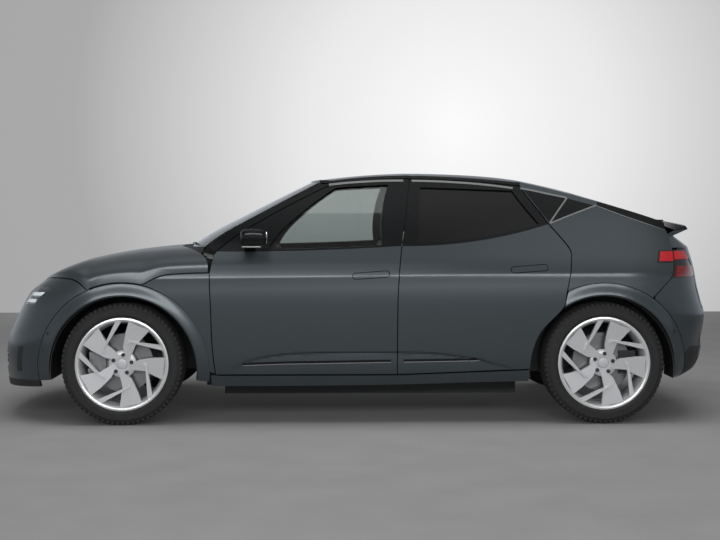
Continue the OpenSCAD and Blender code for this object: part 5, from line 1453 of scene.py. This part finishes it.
floorFinish = Finish("StudioFloor", Roughness=0.8, Specular_IOR_Level=0.15, Emission_Strength=1.0)
deepY, wideX = (floorFinish.make("ShaderNodeSeparateXYZ", {}, {0: floorFinish.coords}, axis) for axis in "YX")
floorFinish.feed("Base Color", floorFinish.ramp(floorFinish.noise(3), *greys(floor["shades"])))
# The floor's emission is painted light: it glows brighter towards the back and the middle, and fades near the camera
# and to the sides
floorFinish.feed("Emission Color", floorFinish.ramp(
    deepY * floor["deep"] - wideX * wideX * floor["wide"] + floor["start"], *greys(floor["paintedGlow"])))
half, far = floor["half"], floor["farEdge"]
floorMesh = bpy.data.meshes.new("studio_floor")
floorMesh.from_pydata([(-half, -half, 0), (half, -half, 0), (half, far, 0), (-half, far, 0)], [], [(0, 1, 2, 3)])
floorMesh.materials.append(floorFinish.mat)
floorObj = bpy.data.objects.new("studio_floor", floorMesh)
scene.collection.objects.link(floorObj)

backdrop = {"paintedGlow": ((0.0, 0.97), (0.12, 0.82), (0.3, 0.4), (0.7, 0.36)),
            "room": ((0.44, (0.16, 0.16, 0.17)), (0.5, (0.5, 0.54, 0.6)), (0.545, (0.46, 0.49, 0.53)),
                     (0.62, (0.2, 0.2, 0.21)), (0.85, (0.17, 0.17, 0.17)), (1.0, (0.5, 0.5, 0.5)))}
world = bpy.data.worlds.new("Studio")
scene.world = world
world.use_nodes = True
sky = world.node_tree
# Camera rays see a painted backdrop: a patch of painted light behind the car that fades outwards; all other rays take
# the room's light
spread = makeNode(sky, "ShaderNodeTexCoord", out="Generated")
reach = makeNode(sky, "ShaderNodeVectorMath", {"operation": "DISTANCE"},
                 {0: spread, 1: Vector(view["paintedGlow"]).normalized()}, "Value")
paintedGlow = makeNode(sky, "ShaderNodeValToRGB", {"stops": greys(backdrop["paintedGlow"])}, {"Fac": reach}, "Color")
rise = makeNode(sky, "ShaderNodeSeparateXYZ", {}, {0: spread}, "Z")
lift = makeNode(sky, "ShaderNodeMapRange", {}, {"Value": rise, "From Min": -1}, "Result")
room = makeNode(sky, "ShaderNodeValToRGB", {"stops": backdrop["room"]}, {"Fac": lift}, "Color")
seen = makeNode(sky, "ShaderNodeLightPath", out="Is Camera Ray")
mix = makeNode(sky, "ShaderNodeMix", {"data_type": "RGBA"}, {"Factor": seen, "A": room, "B": paintedGlow}, "Result")
sky.links.new(mix.socket, sky.nodes["Background"].inputs["Color"])


def softLight(name, spot, aim, size, watts, glossy=True):
    data = bpy.data.lights.new(name, "AREA")
    data.shape, data.size, data.size_y, data.energy = "RECTANGLE", size[0], size[1], watts
    obj = bpy.data.objects.new(name, data)
    obj.location = spot
    obj.rotation_euler = (Vector(aim) - Vector(spot)).to_track_quat("-Z", "Y").to_euler()
    obj.visible_glossy = glossy
    scene.collection.objects.link(obj)


softLight("KeyAbove", (0, -1.0, 5.5), (0, 0, 0.6), (7, 3), 240, False)
softLight("SideFill", (-0.5, -7.5, 3.0), (0, 0, 0.8), (9, 1.6), 270)

camData = bpy.data.cameras.new("PhotoView")
camData.lens, camData.sensor_width, camData.shift_y = view["lens"], 36, view["shiftY"]
cam = bpy.data.objects.new("PhotoView", camData)
cam.location = view["spot"]
cam.rotation_euler = (math.pi / 2, 0, math.radians(view["yaw"]))
scene.collection.objects.link(cam)
scene.camera = cam
scene.view_settings.view_transform = "Standard"
